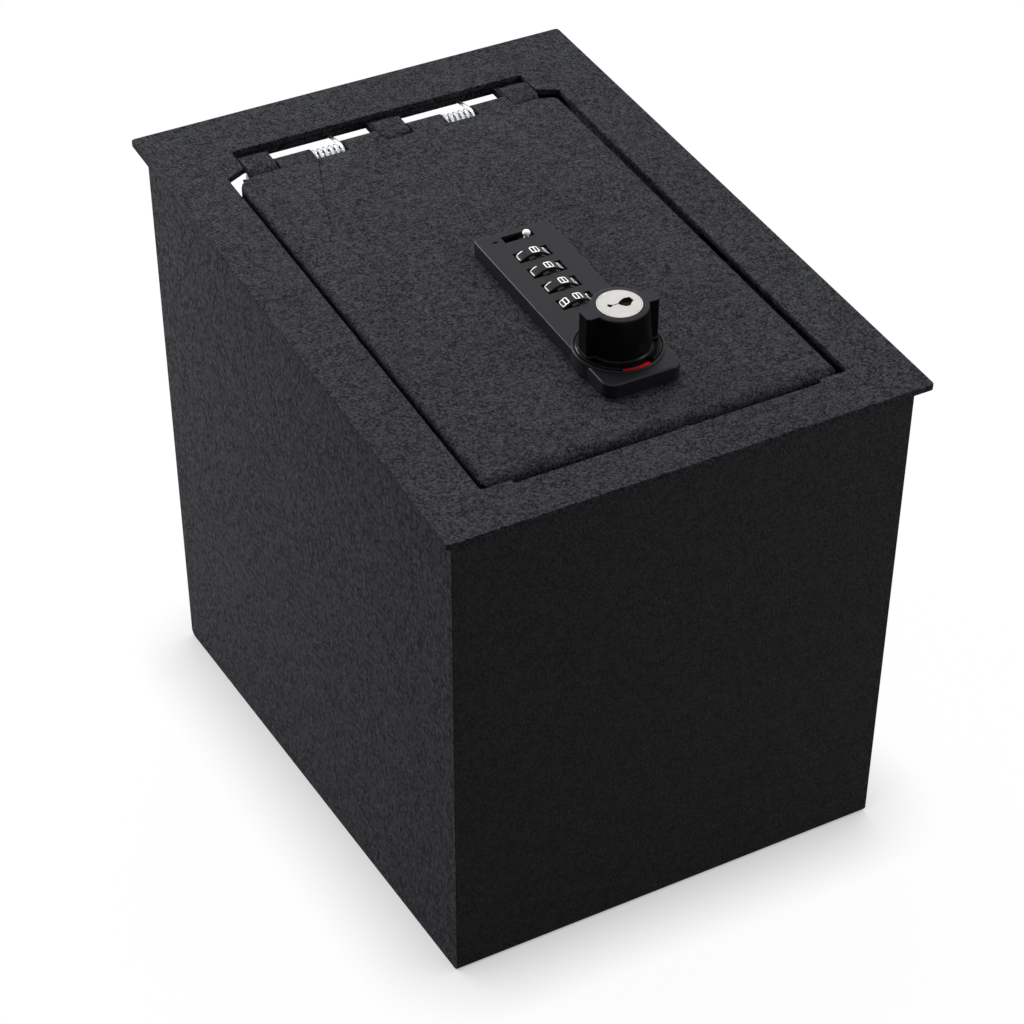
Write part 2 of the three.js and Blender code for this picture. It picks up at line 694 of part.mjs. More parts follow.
function rearCase() {
  const sides = [lockOffset - caseHalf, lockOffset + caseHalf];
  const inside = [sides[0] + caseWall, sides[1] - caseWall];
  let shell = cut(join(block(sides, [caseFrontY, caseRearY], [caseFloor - caseWall, caseTop])),
    block(inside, [caseFrontY + caseWall, caseRearY - caseWall], [caseFloor, caseTop + 1]));
  for (const spot of screwSpots()) {
    const post = bar("z", screwBossDiameter + 2 * holeGap, caseFloor - lap, caseTop - seatGap,
      spot, coarseSteps);
    const hole = bar("z", bore(screwDiameter + screwPlay, 12), caseFloor - 2 * caseWall, caseTop + 1,
      spot, 12);
    shell = cut(shell.add(solid(post)), hole);
  }
  return shell;
}

function caseScrew([x, y]) {
  const head = caseFloor - caseWall - seatGap;
  const low = head - screwHeadHeight;
  const [slotWide, slotDeep] = screwSlot;
  const profile = [
    [0, low], [screwHeadDiameter / 2, low], [screwHeadDiameter / 2, head],
    [screwDiameter / 2, head], [screwDiameter / 2, screwTop], [0, screwTop],
  ];
  const slot = block([-screwHeadDiameter, screwHeadDiameter], [-slotWide / 2, slotWide / 2],
    [low - 1, low + slotDeep]);
  return geometryOf(cut(solid(turned(profile, 16)), slot)).translate(x, y, 0);
}

function dialAxle() {
  return bar("y", axleDiameter, cheekFront - cheekThickness - axleProud,
    cheekRear + cheekThickness + axleProud, [lockOffset, axleZ], coarseSteps);
}

// A number wheel about its own axis: a smooth band for the numbers and a lower ribbed rim in front.
function numberWheel() {
  const half = wheelWidth / 2;
  const hole = bore(axleDiameter + 2 * axlePlay, coarseSteps);
  const band = bar("y", wheelDiameter, -half + ribWidth, half, [0, 0], 40);
  let wheel = join(band, bar("y", ribDiameter, -half, -half + ribWidth + lap, [0, 0], 40));
  for (let i = 0; i < numbersPerWheel; i++) {
    const angle = ((i + 0.5) * 2 * Math.PI) / numbersPerWheel;
    const place = [Math.cos(angle), Math.sin(angle)].map((v) => v * (ribDiameter / 2 + ribGrooveOut));
    wheel = cut(wheel, bar("y", ribGroove, -half - 1, -half + ribWidth, place, 12));
  }
  return cut(wheel, bar("y", hole, -half - 1, half + 1, [0, 0], coarseSteps));
}

// The gate ring behind a wheel, with the notch that the fence drops into.
function gateRing() {
  const front = wheelWidth / 2 + gateGap;
  const hole = bore(axleDiameter + 2 * axlePlay, coarseSteps);
  return cut(join(bar("y", gateDiameter, front, front + gateWidth, [0, 0], 24)),
    bar("y", hole, front - 1, front + gateWidth + 1, [0, 0], coarseSteps),
    block([-gateNotch / 2, gateNotch / 2], [front - 1, front + gateWidth + 1],
      [-gateDiameter / 2 - 1, -gateDiameter / 2 + gateNotchDepth]));
}

// A flat bar under the wheels with one tooth below each gate ring.
function fenceBar() {
  const top = axleZ - wheelDiameter / 2 - fenceGap;
  const toothTop = axleZ - gateDiameter / 2 - fenceGap;
  const [toothHalf, toothLong] = [fenceTooth[0] / 2, fenceTooth[1]];
  let fence = solid(block([lockOffset - fenceWidth / 2, lockOffset + fenceWidth / 2],
    [cheekFront, cheekRear], [caseFloor + seatGap, top]));
  for (let i = 0; i < wheelCount; i++) {
    const y = wheelY(i) + wheelWidth / 2 + gateGap + gateWidth / 2;
    fence = fence.add(solid(block([lockOffset - toothHalf, lockOffset + toothHalf],
      [y - toothLong / 2, y + toothLong / 2], [caseFloor + seatGap, toothTop])));
  }
  return fence;
}

// A comb on the case's floor, beside the screw posts, with a leaf finger up to each wheel's ribs.
function detentSpring() {
  const left = lockOffset - screwSpread / 2 + screwBossDiameter / 2 + holeGap + seatGap;
  const low = caseFloor + seatGap;
  const tip = ribDiameter / 2 + fenceGap;
  const tipX = lockOffset - tip * Math.SQRT1_2;
  const tipZ = axleZ - tip * Math.SQRT1_2;
  const finger = [
    [left, low], [left + combFinger, low], [tipX, tipZ], [tipX - combThickness, tipZ],
  ].map(([x, z]) => new THREE.Vector2(x, z));
  let comb = solid(block([left, left + combWidth],
    [wheelY(0) - wheelWidth / 2, wheelY(wheelCount - 1) + wheelWidth / 2], [low, low + combThickness]));
  for (let i = 0; i < wheelCount; i++) {
    const front = wheelY(i) - wheelWidth / 2;
    comb = comb.add(solid(alongY(finger, front + gateGap, front + ribWidth - seatGap)));
  }
  return comb;
}

function codeSlider() {
  const centre = [sliderSlotX + sliderRest, sliderY];
  const top = ceiling - seatGap;
  const half = sliderPlate / 2;
  const shoulder = housingHeight - sliderHeadDrop;
  return join(
    block([centre[0] - half, centre[0] + half], [centre[1] - half, centre[1] + half],
      [top - sliderPlateThickness, top]),
    bar("z", sliderStem, top - lap, shoulder + lap, centre, 16),
    bar("z", sliderHead, shoulder, housingHeight + sliderProud, centre, 20));
}

// A flat ring sector, lying in the knob's seat.
function indicator(middle) {
  const half = THREE.MathUtils.degToRad(indicatorSpan / 2);
  const centre = THREE.MathUtils.degToRad(middle);
  const low = seatFloor + indicatorGap;
  return plate(sector(indicatorInner / 2, indicatorOuter / 2, centre - half, centre + half),
    low, low + indicatorThickness).translate(lockOffset, knobY, 0);
}

function sector(inner, outer, from, to, steps = 10) {
  const at = (radius, k) => new THREE.Vector2(
    radius * Math.cos(from + ((to - from) * k) / steps), radius * Math.sin(from + ((to - from) * k) / steps));
  const range = [...Array(steps + 1).keys()];
  return [...range.map((k) => at(outer, k)), ...range.reverse().map((k) => at(inner, k))];
}

// Knob, about its own axis with its wings along X

// A round body on a round base, with a straight wing at each side, and a window in the base's rim.
function knobBody() {
  const baseTop = knobBottom + knobBaseThickness;
  const [foot, boss] = [knobFootDiameter / 2, knobBossDiameter / 2];
  const [tip, side] = [knobSpan / 2, knobWingWidth / 2];
  const wings = outline([[-tip, -side], [tip, -side], [tip, side], [-tip, side]]
    .map((corner) => [...corner, knobWingCorner]));
  const body = join(turned([
    [0, knobBottom], [knobBaseDiameter / 2, knobBottom], [knobBaseDiameter / 2, baseTop], [foot, baseTop],
    [boss, knobHeight - knobRim], [boss - knobRim, knobHeight], [0, knobHeight],
  ], 48), plate(wings, baseTop - lap, knobHeight - knobRim / 2));
  const half = THREE.MathUtils.degToRad(indicatorSpan / 2 + indicatorMargin);
  const middle = THREE.MathUtils.degToRad(indicatorAngle - knobTurnAtRest);
  const window = sector(indicatorInner / 2 - seatGap, knobBaseDiameter / 2 + 1, middle - half, middle + half);
  const faceSeat = knobHeight - plugFaceThickness;
  const plugEnd = knobHeight - plugLength - seatGap;
  return cut(body, plate(window, knobBottom - 1, baseTop + 1),
    bar("z", bore(plugFaceDiameter + 2 * plugPlay), faceSeat, knobHeight + 1, [0, 0]),
    bar("z", bore(plugBarrelDiameter + 2 * plugPlay), plugEnd, faceSeat + lap, [0, 0]),
    bar("z", bore(spindleTail + spindleTailPlay), knobBottom - 1, plugEnd - knobWeb, [0, 0]));
}

// A round plug with a wider face, a keyway and a shallow bow-tie hollow round it.
function keyPlug() {
  const [width, length, depth] = keyway;
  const [waist, ends, hollow] = keyDish;
  const [barrel, face] = [plugBarrelDiameter / 2, plugFaceDiameter / 2];
  const low = knobHeight - plugLength;
  const top = knobHeight + plugProud;
  const faceLow = knobHeight - plugFaceThickness + seatGap;
  const plug = solid(turned([
    [0, low], [barrel, low], [barrel, faceLow], [face, faceLow],
    [face, top - plugBevel], [face - plugBevel, top], [0, top],
  ]));
  const bow = [[0, waist], [length, ends], [length, -ends], [0, -waist], [-length, -ends], [-length, ends]];
  const dish = bow.map(([x, y]) => new THREE.Vector2(x / 2, y / 2));
  const turn = THREE.MathUtils.degToRad(keywayTurn);
  return cut(plug, plate(dish, top - hollow, top + 1).rotateZ(turn),
    block([-length / 2, length / 2], [-width / 2, width / 2], [top - depth, top + 1]).rotateZ(turn));
}

function spindle() {
  const shoulder = camTop + seatGap;
  const [shaft, tail, thread] = [spindleDiameter / 2, spindleTail / 2, spindleThread / 2];
  const end = camBottom - seatGap - nutHeight - threadProud;
  const neck = camBottom - seatGap / 2;
  const top = knobHeight - plugLength - plugHeadroom;
  return turned([
    [0, end], [thread, end], [thread, neck], [tail, neck], [tail, shoulder], [shaft, shoulder],
    [shaft, knobBottom - seatGap], [tail, knobBottom - seatGap], [tail, top], [0, top],
  ]);
}

// Bolt work under the lid

// A spiral slot whose radius grows evenly with the angle, so a follower pin moves evenly too.
function spiralSlot(restAngle) {
  const steps = 12;
  const turn = THREE.MathUtils.degToRad(camTurn);
  const middle = (t) => {
    const radius = followerRest + boltThrow * t;
    const angle = restAngle - turn * t;
    return new THREE.Vector2(radius * Math.cos(angle), radius * Math.sin(angle));
  };
  const normal = (t) => {
    const tangent = middle(t + 0.001).sub(middle(t - 0.001)).normalize();
    return new THREE.Vector2(-tangent.y, tangent.x);
  };
  const side = (sign) => [...Array(steps + 1).keys()].map((k) => middle(k / steps)
    .addScaledVector(normal(k / steps), sign * followerClearance));
  const capSteps = 8;
  const cap = (t, sign) => [...Array(capSteps - 1).keys()].map((k) => {
    const angle = normal(t).multiplyScalar(sign).angle() - (Math.PI * (k + 1)) / capSteps;
    const reach = new THREE.Vector2(Math.cos(angle), Math.sin(angle)).multiplyScalar(followerClearance);
    return reach.add(middle(t));
  });
  return [...side(1), ...cap(1, 1), ...side(-1).reverse(), ...cap(0, -1)];
}

function boltCam() {
  const disc = bar("z", 2 * camRadius, camBottom, camTop, [0, 0], 60);
  const slots = boltDirections.map(({ angle }) => plate(spiralSlot(angle), camBottom - 1, camTop + 1));
  return cut(solid(disc), ...slots,
    bar("z", bore(spindleTail + spindleTailPlay), camBottom - 1, camTop + 1, [0, 0]));
}

function camNut() {
  const top = camBottom - seatGap;
  const hex = new THREE.CylinderGeometry(nutWidth / Math.sqrt(3), nutWidth / Math.sqrt(3), nutHeight, 6);
  hex.rotateX(Math.PI / 2).translate(0, 0, top - nutHeight / 2);
  return cut(solid(hex),
    bar("z", bore(spindleThread + spindleTailPlay), top - nutHeight - 1, top + 1, [0, 0]));
}

// A bolt along its own X, outwards from the knob's axis. The follower pin's hole is near its tail.
function bolt(reach) {
  const half = boltWidth / 2;
  const shaft = block([followerRest - boltTail, reach], [-half, half], [boltBottom, boltTop]);
  return cut(solid(shaft),
    bar("z", bore(followerDiameter + followerPlay, 16), boltBottom - 1, boltTop + 1, [followerRest, 0], 16));
}

function followerPin() {
  return bar("z", followerDiameter, camBottom - followerProud, boltTop, [followerRest, 0], 16);
}

// A folded bridge under a bolt, with a foot at each side on the lid.
function boltGuide(place) {
  const inner = boltWidth / 2 + boltPlay;
  const outer = inner + guideWall;
  const [top, bridge] = [lidUnder - seatGap, boltBottom - boltPlay];
  const profile = [
    [-outer - guideFoot, top], [-outer - guideFoot, top - guideWall], [-outer, top - guideWall],
    [-outer, bridge - guideWall], [outer, bridge - guideWall], [outer, top - guideWall],
    [outer + guideFoot, top - guideWall], [outer + guideFoot, top], [inner, top],
    [inner, bridge], [-inner, bridge], [-inner, top],
  ].map(([y, z]) => new THREE.Vector2(y, z));
  return acrossX(profile, place - guideLength / 2, place + guideLength / 2);
}

const boltDirections = [
  { name: "left", angle: Math.PI, edge: lidHalf + lockOffset, guide: guideReachSide },
  { name: "right", angle: 0, edge: lidHalf - lockOffset, guide: guideReachSide - 2 * lockOffset },
  { name: "front", angle: -Math.PI / 2, edge: knobY - lidFrontY, guide: guideReachFront },
];

// Assembly

piece(tilted, "flange_plate", flangePlate(), "powderCoat");
piece(tilted, "body_wrap", bodyWrap(), "powderCoat");
piece(tilted, "left_side_panel", sidePanel(wallLeft, 1), "powderCoat");
piece(tilted, "right_side_panel", sidePanel(wallRight, -1), "powderCoat");
piece(tilted, "lid_stop_left", lidStop(-1), "powderCoat");
piece(tilted, "lid_stop_right", lidStop(1), "powderCoat");
piece(tilted, "hinge_leaf", hingeLeaf(), "powderCoat");
piece(tilted, "hinge_pin", hingePin(), "zinc");

const coil = springLine();
console.log(`hinge spring: least gap to itself ${leastGap(coil).toFixed(2)} mm`);
for (const [name, side] of [["left", -1], ["right", 1]]) {
  const spring = piece(tilted, `hinge_spring_${name}`, wire(coil, wireDiameter), "zinc");
  spring.position.x = (side * knucklePitch) / 2;
}

piece(tilted, "lid_panel", lidPanel(), "powderCoat");
piece(tilted, "lock_housing", lockHousing(), "satinBlack");
piece(tilted, "lock_rear_case", rearCase(), "satinBlack");
screwSpots().forEach((spot, i) => piece(tilted, `case_screw_${i + 1}`, caseScrew(spot), "zinc"));
piece(tilted, "dial_axle", dialAxle(), "zinc");
piece(tilted, "fence_bar", fenceBar(), "brass");
piece(tilted, "detent_spring", detentSpring(), "zinc");
for (let i = 0; i < wheelCount; i++) {
  const wheel = piece(tilted, `number_wheel_${i + 1}`, numberWheel(), "wheelBlack");
  const gate = piece(tilted, `gate_ring_${i + 1}`, gateRing(), "brass");
  for (const part of [wheel, gate]) part.position.set(lockOffset, wheelY(i), axleZ);
}
piece(tilted, "code_slider", codeSlider(), "white");
piece(tilted, "indicator_red", indicator(indicatorAngle), "red");
piece(tilted, "indicator_green", indicator(indicatorAngle + camTurn), "green");

const knobAxis = new THREE.Group();
knobAxis.position.set(lockOffset, knobY, 0);
tilted.add(knobAxis);
for (const [name, shape, finish] of [["knob", knobBody(), "glossBlack"], ["key_plug", keyPlug(), "nickel"]]) {
  piece(knobAxis, name, shape, finish).rotation.z = THREE.MathUtils.degToRad(knobTurnAtRest);
}
piece(knobAxis, "knob_spindle", spindle(), "zinc");
piece(knobAxis, "bolt_cam", boltCam(), "zinc");
piece(knobAxis, "cam_nut", camNut(), "zinc");

for (const { name, angle, edge, guide } of boltDirections) {
  const line = new THREE.Group();
  line.rotation.z = angle;
  knobAxis.add(line);
  piece(line, `bolt_${name}`, bolt(edge - boltTipInset), "zinc");
  piece(line, `follower_pin_${name}`, followerPin(), "zinc");
  piece(line, `bolt_guide_${name}`, boltGuide(guide), "zinc");
}

// Tilt the flange so that the sloping bottom lies flat on z = 0, and put the middle of the plan box
// at the origin.
const rearFoot = wallRear * Math.cos(slope) + depthRear * Math.sin(slope);
const frontEdge = (-flangeLength / 2) * Math.cos(slope);
const footHeight = wallRear * Math.sin(slope) - depthRear * Math.cos(slope);
tilted.rotation.x = slope;
tilted.position.set(0, -(rearFoot + frontEdge) / 2, -footHeight);
safe.updateMatrixWorld(true);

export default safe;
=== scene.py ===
import json
import math

import bpy
from mathutils import Matrix, Vector


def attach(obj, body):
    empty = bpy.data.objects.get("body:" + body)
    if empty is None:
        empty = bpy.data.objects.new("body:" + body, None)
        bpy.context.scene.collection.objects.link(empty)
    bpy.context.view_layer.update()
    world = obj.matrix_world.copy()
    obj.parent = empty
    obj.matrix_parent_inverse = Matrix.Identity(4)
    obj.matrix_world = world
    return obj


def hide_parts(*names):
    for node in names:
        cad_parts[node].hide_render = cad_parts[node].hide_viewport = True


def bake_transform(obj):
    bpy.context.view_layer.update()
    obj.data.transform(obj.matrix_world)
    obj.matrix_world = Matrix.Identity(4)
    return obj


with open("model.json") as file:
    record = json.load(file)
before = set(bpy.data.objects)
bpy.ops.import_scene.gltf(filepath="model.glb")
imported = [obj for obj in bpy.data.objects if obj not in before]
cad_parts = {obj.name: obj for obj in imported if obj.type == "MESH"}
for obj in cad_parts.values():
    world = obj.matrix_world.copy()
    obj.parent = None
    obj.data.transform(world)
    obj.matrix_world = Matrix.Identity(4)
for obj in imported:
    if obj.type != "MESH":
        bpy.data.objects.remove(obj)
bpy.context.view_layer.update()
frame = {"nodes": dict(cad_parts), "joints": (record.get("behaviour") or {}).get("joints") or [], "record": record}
joints = {j["name"]: j for j in frame["joints"]}
print("frame loaded:", len(frame["nodes"]), "nodes")

# Pieces are drawn in mm in the flange's own frame: X right, Y to the hinge, z = 0 on its top face.
# toSafe carries them to their place, in metres, on the sloping bottom.
lockX, knobY = 4, -79.2
knobJoint = joints["knob_turn"]
slope = math.atan2(-knobJoint["axis"][1], knobJoint["axis"][2])
toSafe = (Matrix.Translation(Vector(knobJoint["pos_m"])) @ Matrix.Rotation(slope, 4, "X")
          @ Matrix.Scale(0.001, 4) @ Matrix.Translation((-lockX, -knobY, 0)))


def only(*objs):
    bpy.ops.object.select_all(action="DESELECT")
    for obj in objs:
        obj.select_set(True)
    bpy.context.view_layer.objects.active = objs[0]


def applyPlace(obj):
    only(obj)
    bpy.ops.object.transform_apply(location=True, rotation=True, scale=True)
    return obj


# A block between two corners.
def addBlock(name, low, high):
    middle = [(a + b) / 2 for a, b in zip(low, high)]
    bpy.ops.mesh.primitive_cube_add(size=1, location=middle, scale=[b - a for a, b in zip(low, high)])
    bpy.context.object.name = name
    return applyPlace(bpy.context.object)


# A round bar along x, y or z, centred on the other two axes.
def addBar(name, along, diameter, start, end, centre, sides=64):
    turn = {"x": (0, math.pi / 2, 0), "y": (math.pi / 2, 0, 0), "z": (0, 0, 0)}[along]
    spot = list(centre)
    spot.insert("xyz".index(along), (start + end) / 2)
    bpy.ops.mesh.primitive_cylinder_add(vertices=sides, radius=diameter / 2, depth=end - start,
                                        location=spot, rotation=turn)
    bpy.context.object.name = name
    return applyPlace(bpy.context.object)


# Selects parts of a mesh by a test, ready for an edit-mode tool. kind is VERT, EDGE or FACE.
def pick(obj, kind, test):
    mesh = obj.data
    bpy.context.tool_settings.mesh_select_mode = (kind == "VERT", kind == "EDGE", kind == "FACE")
    for group in (mesh.vertices, mesh.edges, mesh.polygons):
        group.foreach_set("select", [False] * len(group))
    if kind == "VERT":
        for v in mesh.vertices:
            v.select = test(v.co)
    if kind == "EDGE":
        for e in mesh.edges:
            e.select = test(*(mesh.vertices[i].co for i in e.vertices))
    if kind == "FACE":
        for f in mesh.polygons:
            f.select = test(f.center, f.normal)
    only(obj)
    bpy.ops.object.mode_set(mode="EDIT")


def pickAll(obj, kind):
    pick(obj, kind, lambda *given: True)


def leaveEdit():
    bpy.ops.object.mode_set(mode="OBJECT")


# A line drawn point by point from a plane that is merged to one vertex. It is left in edit mode.
def drawLine(name, points):
    bpy.ops.mesh.primitive_plane_add(size=1, location=points[0])
    obj = bpy.context.object
    obj.name = name
    applyPlace(obj)
    pickAll(obj, "VERT")
    bpy.ops.mesh.merge(type="CENTER")
    for here, there in zip(points, points[1:]):
        step = tuple(b - a for a, b in zip(here, there))
        bpy.ops.mesh.extrude_region_move(TRANSFORM_OT_translate={"value": step})
    return obj


# The corners of a rectangle about the origin, all rounded alike.
def rectangle(wide, long, radius):
    return [(x * wide / 2, y * long / 2, radius) for x, y in ((-1, -1), (1, -1), (1, 1), (-1, 1))]


# A flat face from corners (x, y) or (x, y, radius), with the corners rounded.
def drawShape(name, corners, steps=6):
    obj = drawLine(name, [(*corner[:2], 0) for corner in corners])
    bpy.ops.mesh.select_all(action="SELECT")
    bpy.ops.mesh.edge_face_add()
    bpy.ops.mesh.normals_make_consistent(inside=False)
    leaveEdit()
    for i, corner in enumerate(corners):
        if len(corner) < 3:
            continue
        spot = Vector(corner[:2])
        back = Vector(corners[i - 1][:2]) - spot
        on = Vector(corners[(i + 1) % len(corners)][:2]) - spot
        reach = corner[2] / math.tan(back.angle(on) / 2)
        pick(obj, "VERT", lambda co: (co.xy - spot).length < 1e-3)
        bpy.ops.mesh.bevel(affect="VERTICES", offset=reach, segments=steps)
        leaveEdit()
    return obj


# Raises a flat face into a plate between two heights. plane "xy" leaves it upright along z;
# "yz" takes the drawing as (y, z) and runs it along x; "xz" takes it as (x, z) and runs it along y.
def raiseShape(obj, low, high, plane="xy"):
    pickAll(obj, "FACE")
    bpy.ops.mesh.extrude_region_move(TRANSFORM_OT_translate={"value": (0, 0, high - low)})
    bpy.ops.mesh.select_all(action="SELECT")
    bpy.ops.transform.translate(value=(0, 0, low))
    bpy.ops.mesh.normals_make_consistent(inside=False)
    leaveEdit()
    if plane == "yz":
        obj.matrix_world = Matrix(((0, 0, 1, 0), (1, 0, 0, 0), (0, 1, 0, 0), (0, 0, 0, 1)))
    if plane == "xz":
        obj.matrix_world = Matrix(((1, 0, 0, 0), (0, 0, 1, 0), (0, 1, 0, 0), (0, 0, 0, 1)))
    applyPlace(obj)
    pickAll(obj, "FACE")
    bpy.ops.mesh.normals_make_consistent(inside=False)
    leaveEdit()
    return obj


# A body turned about z, from its outline as (radius, z).
def turnedBody(name, outline, steps):
    drawLine(name, [(r, 0, z) for r, z in outline])
    bpy.ops.mesh.select_all(action="SELECT")
    bpy.ops.mesh.spin(steps=steps, angle=2 * math.pi, center=(0, 0, 0), axis=(0, 0, 1))
    leaveEdit()
    return tidyMesh(bpy.context.view_layer.objects.active, 0.004)


def combine(obj, way, *tools):
    for tool in tools:
        only(obj)
        mod = obj.modifiers.new("combine", "BOOLEAN")
        mod.operation, mod.solver, mod.object = way, "EXACT", tool
        bpy.ops.object.modifier_apply(modifier=mod.name)
        bpy.data.objects.remove(tool)
    return obj


def cutOut(obj, *tools):
    return combine(obj, "DIFFERENCE", *tools)


def joinOn(obj, *tools):
    return combine(obj, "UNION", *tools)


def keepInside(obj, *tools):
    return combine(obj, "INTERSECT", *tools)


# Rounds every edge sharper than the angle.
def soften(obj, width, segments=2, angle=35):
    only(obj)
    mod = obj.modifiers.new("soft edges", "BEVEL")
    mod.width, mod.segments, mod.limit_method = width, segments, "ANGLE"
    mod.angle_limit = math.radians(angle)
    mod.miter_outer = "MITER_ARC"
    bpy.ops.object.modifier_apply(modifier=mod.name)
    return obj


# Rounds the edges round the top face of a plate.
def roundTop(obj, top, width):
    pick(obj, "EDGE", lambda a, b: a.z > top - 0.01 and b.z > top - 0.01)
    bpy.ops.mesh.bevel(offset=width, segments=4, affect="EDGES")
    leaveEdit()


def tidyMesh(obj, merge=0.001):
    pickAll(obj, "VERT")
    bpy.ops.mesh.remove_doubles(threshold=merge)
    bpy.ops.mesh.normals_make_consistent(inside=False)
    leaveEdit()
    return obj


# Joins faces that lie in one plane, so that no sliver is left for a bevel to fold.
def mergeFlats(obj, degrees=0.3):
    pickAll(obj, "FACE")
    bpy.ops.mesh.dissolve_limited(angle_limit=math.radians(degrees))
    leaveEdit()
    return obj


# Splits all faces along a plane. A face with a hole in it is split through the hole, so that the
# hole isn't filled over.
def splitAcross(obj, spot, direction):
    pickAll(obj, "FACE")
    bpy.ops.mesh.bisect(plane_co=spot, plane_no=direction)
    leaveEdit()


# Smooth below the angle, with the broad faces left flat.
def shadeSmooth(obj, degrees):
    only(obj)
    bpy.ops.object.shade_smooth_by_angle(angle=math.radians(degrees))
    mod = obj.modifiers.new("flat faces", "WEIGHTED_NORMAL")
    mod.keep_sharp = True
    bpy.ops.object.modifier_apply(modifier=mod.name)


def copyOf(obj, name):
    twin = obj.copy()
    twin.data = obj.data.copy()
    twin.name = name
    bpy.context.scene.collection.objects.link(twin)
    return twin


# Gives a piece one finish, and a second one on the faces that pass the test.
def paint(obj, first, second, test):
    obj.data.materials.append(first)
    obj.data.materials.append(second)
    pick(obj, "FACE", test)
    obj.active_material_index = 1
    bpy.ops.object.material_slot_assign()
    leaveEdit()
    return obj


# Takes a drawn piece to its place and gives it a finish if it has none. It hangs it on its body, or, when
# blendBetween is given, only bakes it in place.
def finishPiece(obj, body, material, cadNodes=(), smooth=32, blendBetween=None):
    obj.matrix_world = toSafe
    applyPlace(obj)
    shadeSmooth(obj, smooth)
    if not obj.data.materials:
        obj.data.materials.append(material)
    if blendBetween:
        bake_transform(obj)
    else:
        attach(obj, body)
    if cadNodes:
        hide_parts(*cadNodes)
    return obj


# Materials

def addNode(mat, kind, **values):
    node = mat.node_tree.nodes.new("ShaderNode" + kind)
    for key, value in values.items():
        if hasattr(node, key):
            setattr(node, key, value)
        else:
            node.inputs[key.replace("_", " ")].default_value = value
    return node


def wire(mat, *pairs):
    for source, target in pairs:
        mat.node_tree.links.new(source, target)


# A node that maps one range of values to another.
def addRange(mat, source, target, kind="LINEAR"):
    node = addNode(mat, "MapRange", interpolation_type=kind)
    for name, value in zip(("From Min", "From Max", "To Min", "To Max"), (*source, *target)):
        node.inputs[name].default_value = value
    return node


# A node that mixes two colours.
def addTone(mat, dark, light):
    node = addNode(mat, "Mix", data_type="RGBA")
    node.inputs[6].default_value, node.inputs[7].default_value = (*dark, 1), (*light, 1)
    return node


def newFinish(name, metallic, specular):
    mat = bpy.data.materials.new(name)
    mat.use_nodes = True
    shader = mat.node_tree.nodes["Principled BSDF"]
    shader.inputs["Metallic"].default_value = metallic
    shader.inputs["Specular IOR Level"].default_value = specular
    return mat, shader


# Colour between two tones by a broad noise, and roughness between two values and a bump by a fine one.
# The scale is in grains to the metre, and the depth in metres.
def grainFinish(name, dark, light, rough, scale, bump, depth=0.00002, metallic=0.0, specular=0.5):
    mat, shader = newFinish(name, metallic, specular)
    place = addNode(mat, "TexCoord")
    noise = addNode(mat, "TexNoise", Scale=scale, Detail=4.0, Roughness=0.6)
    broad = addNode(mat, "TexNoise", Scale=scale / 12, Detail=2.0, Roughness=0.5)
    tone = addTone(mat, dark, light)
    gloss = addRange(mat, (0, 1), rough)
    relief = addNode(mat, "Bump", Strength=bump, Distance=depth)
    wire(mat, (place.outputs["Object"], noise.inputs["Vector"]),
         (place.outputs["Object"], broad.inputs["Vector"]),
         (broad.outputs["Fac"], tone.inputs["Factor"]),
         (noise.outputs["Fac"], gloss.inputs["Value"]),
         (noise.outputs["Fac"], relief.inputs["Height"]),
         (tone.outputs[2], shader.inputs["Base Color"]),
         (gloss.outputs["Result"], shader.inputs["Roughness"]),
         (relief.outputs["Normal"], shader.inputs["Normal"]))
    return mat


coatLook = {
    "cell": 560,           # cells, wrinkles, specks, grains and patches to the metre
    "wrinkle": 980,
    "speck": 1500,
    "grain": 4200,
    "patch": 38,
    "wander": 0.0016,      # how far a crack leaves its line, in metres
    "crack": 0.16,         # its width, as a share of a cell
    "breaks": (0.4, 0.6),  # from no crack to a whole one, and the ranges of the wrinkles and the specks
    "waves": (0.34, 0.7),
    "specks": (1.0, 1.55),
    "shares": (0.7, 0.55, 0.48),   # of the wrinkles, the specks and the cracks
    "patchShift": (-0.06, 0.06),
    "depth": 0.00065,      # of the bump, in metres
    "strength": 1.0,
    # the coat's black with painted shade in the valleys and cracks, and with painted highlight on the ridges and
    # specks
    "valley": (0.015, 0.0153, 0.017),
    "ridge": (0.106, 0.1085, 0.1205),
    "roughness": (0.42, 0.6),
    "specular": 0.01,
}
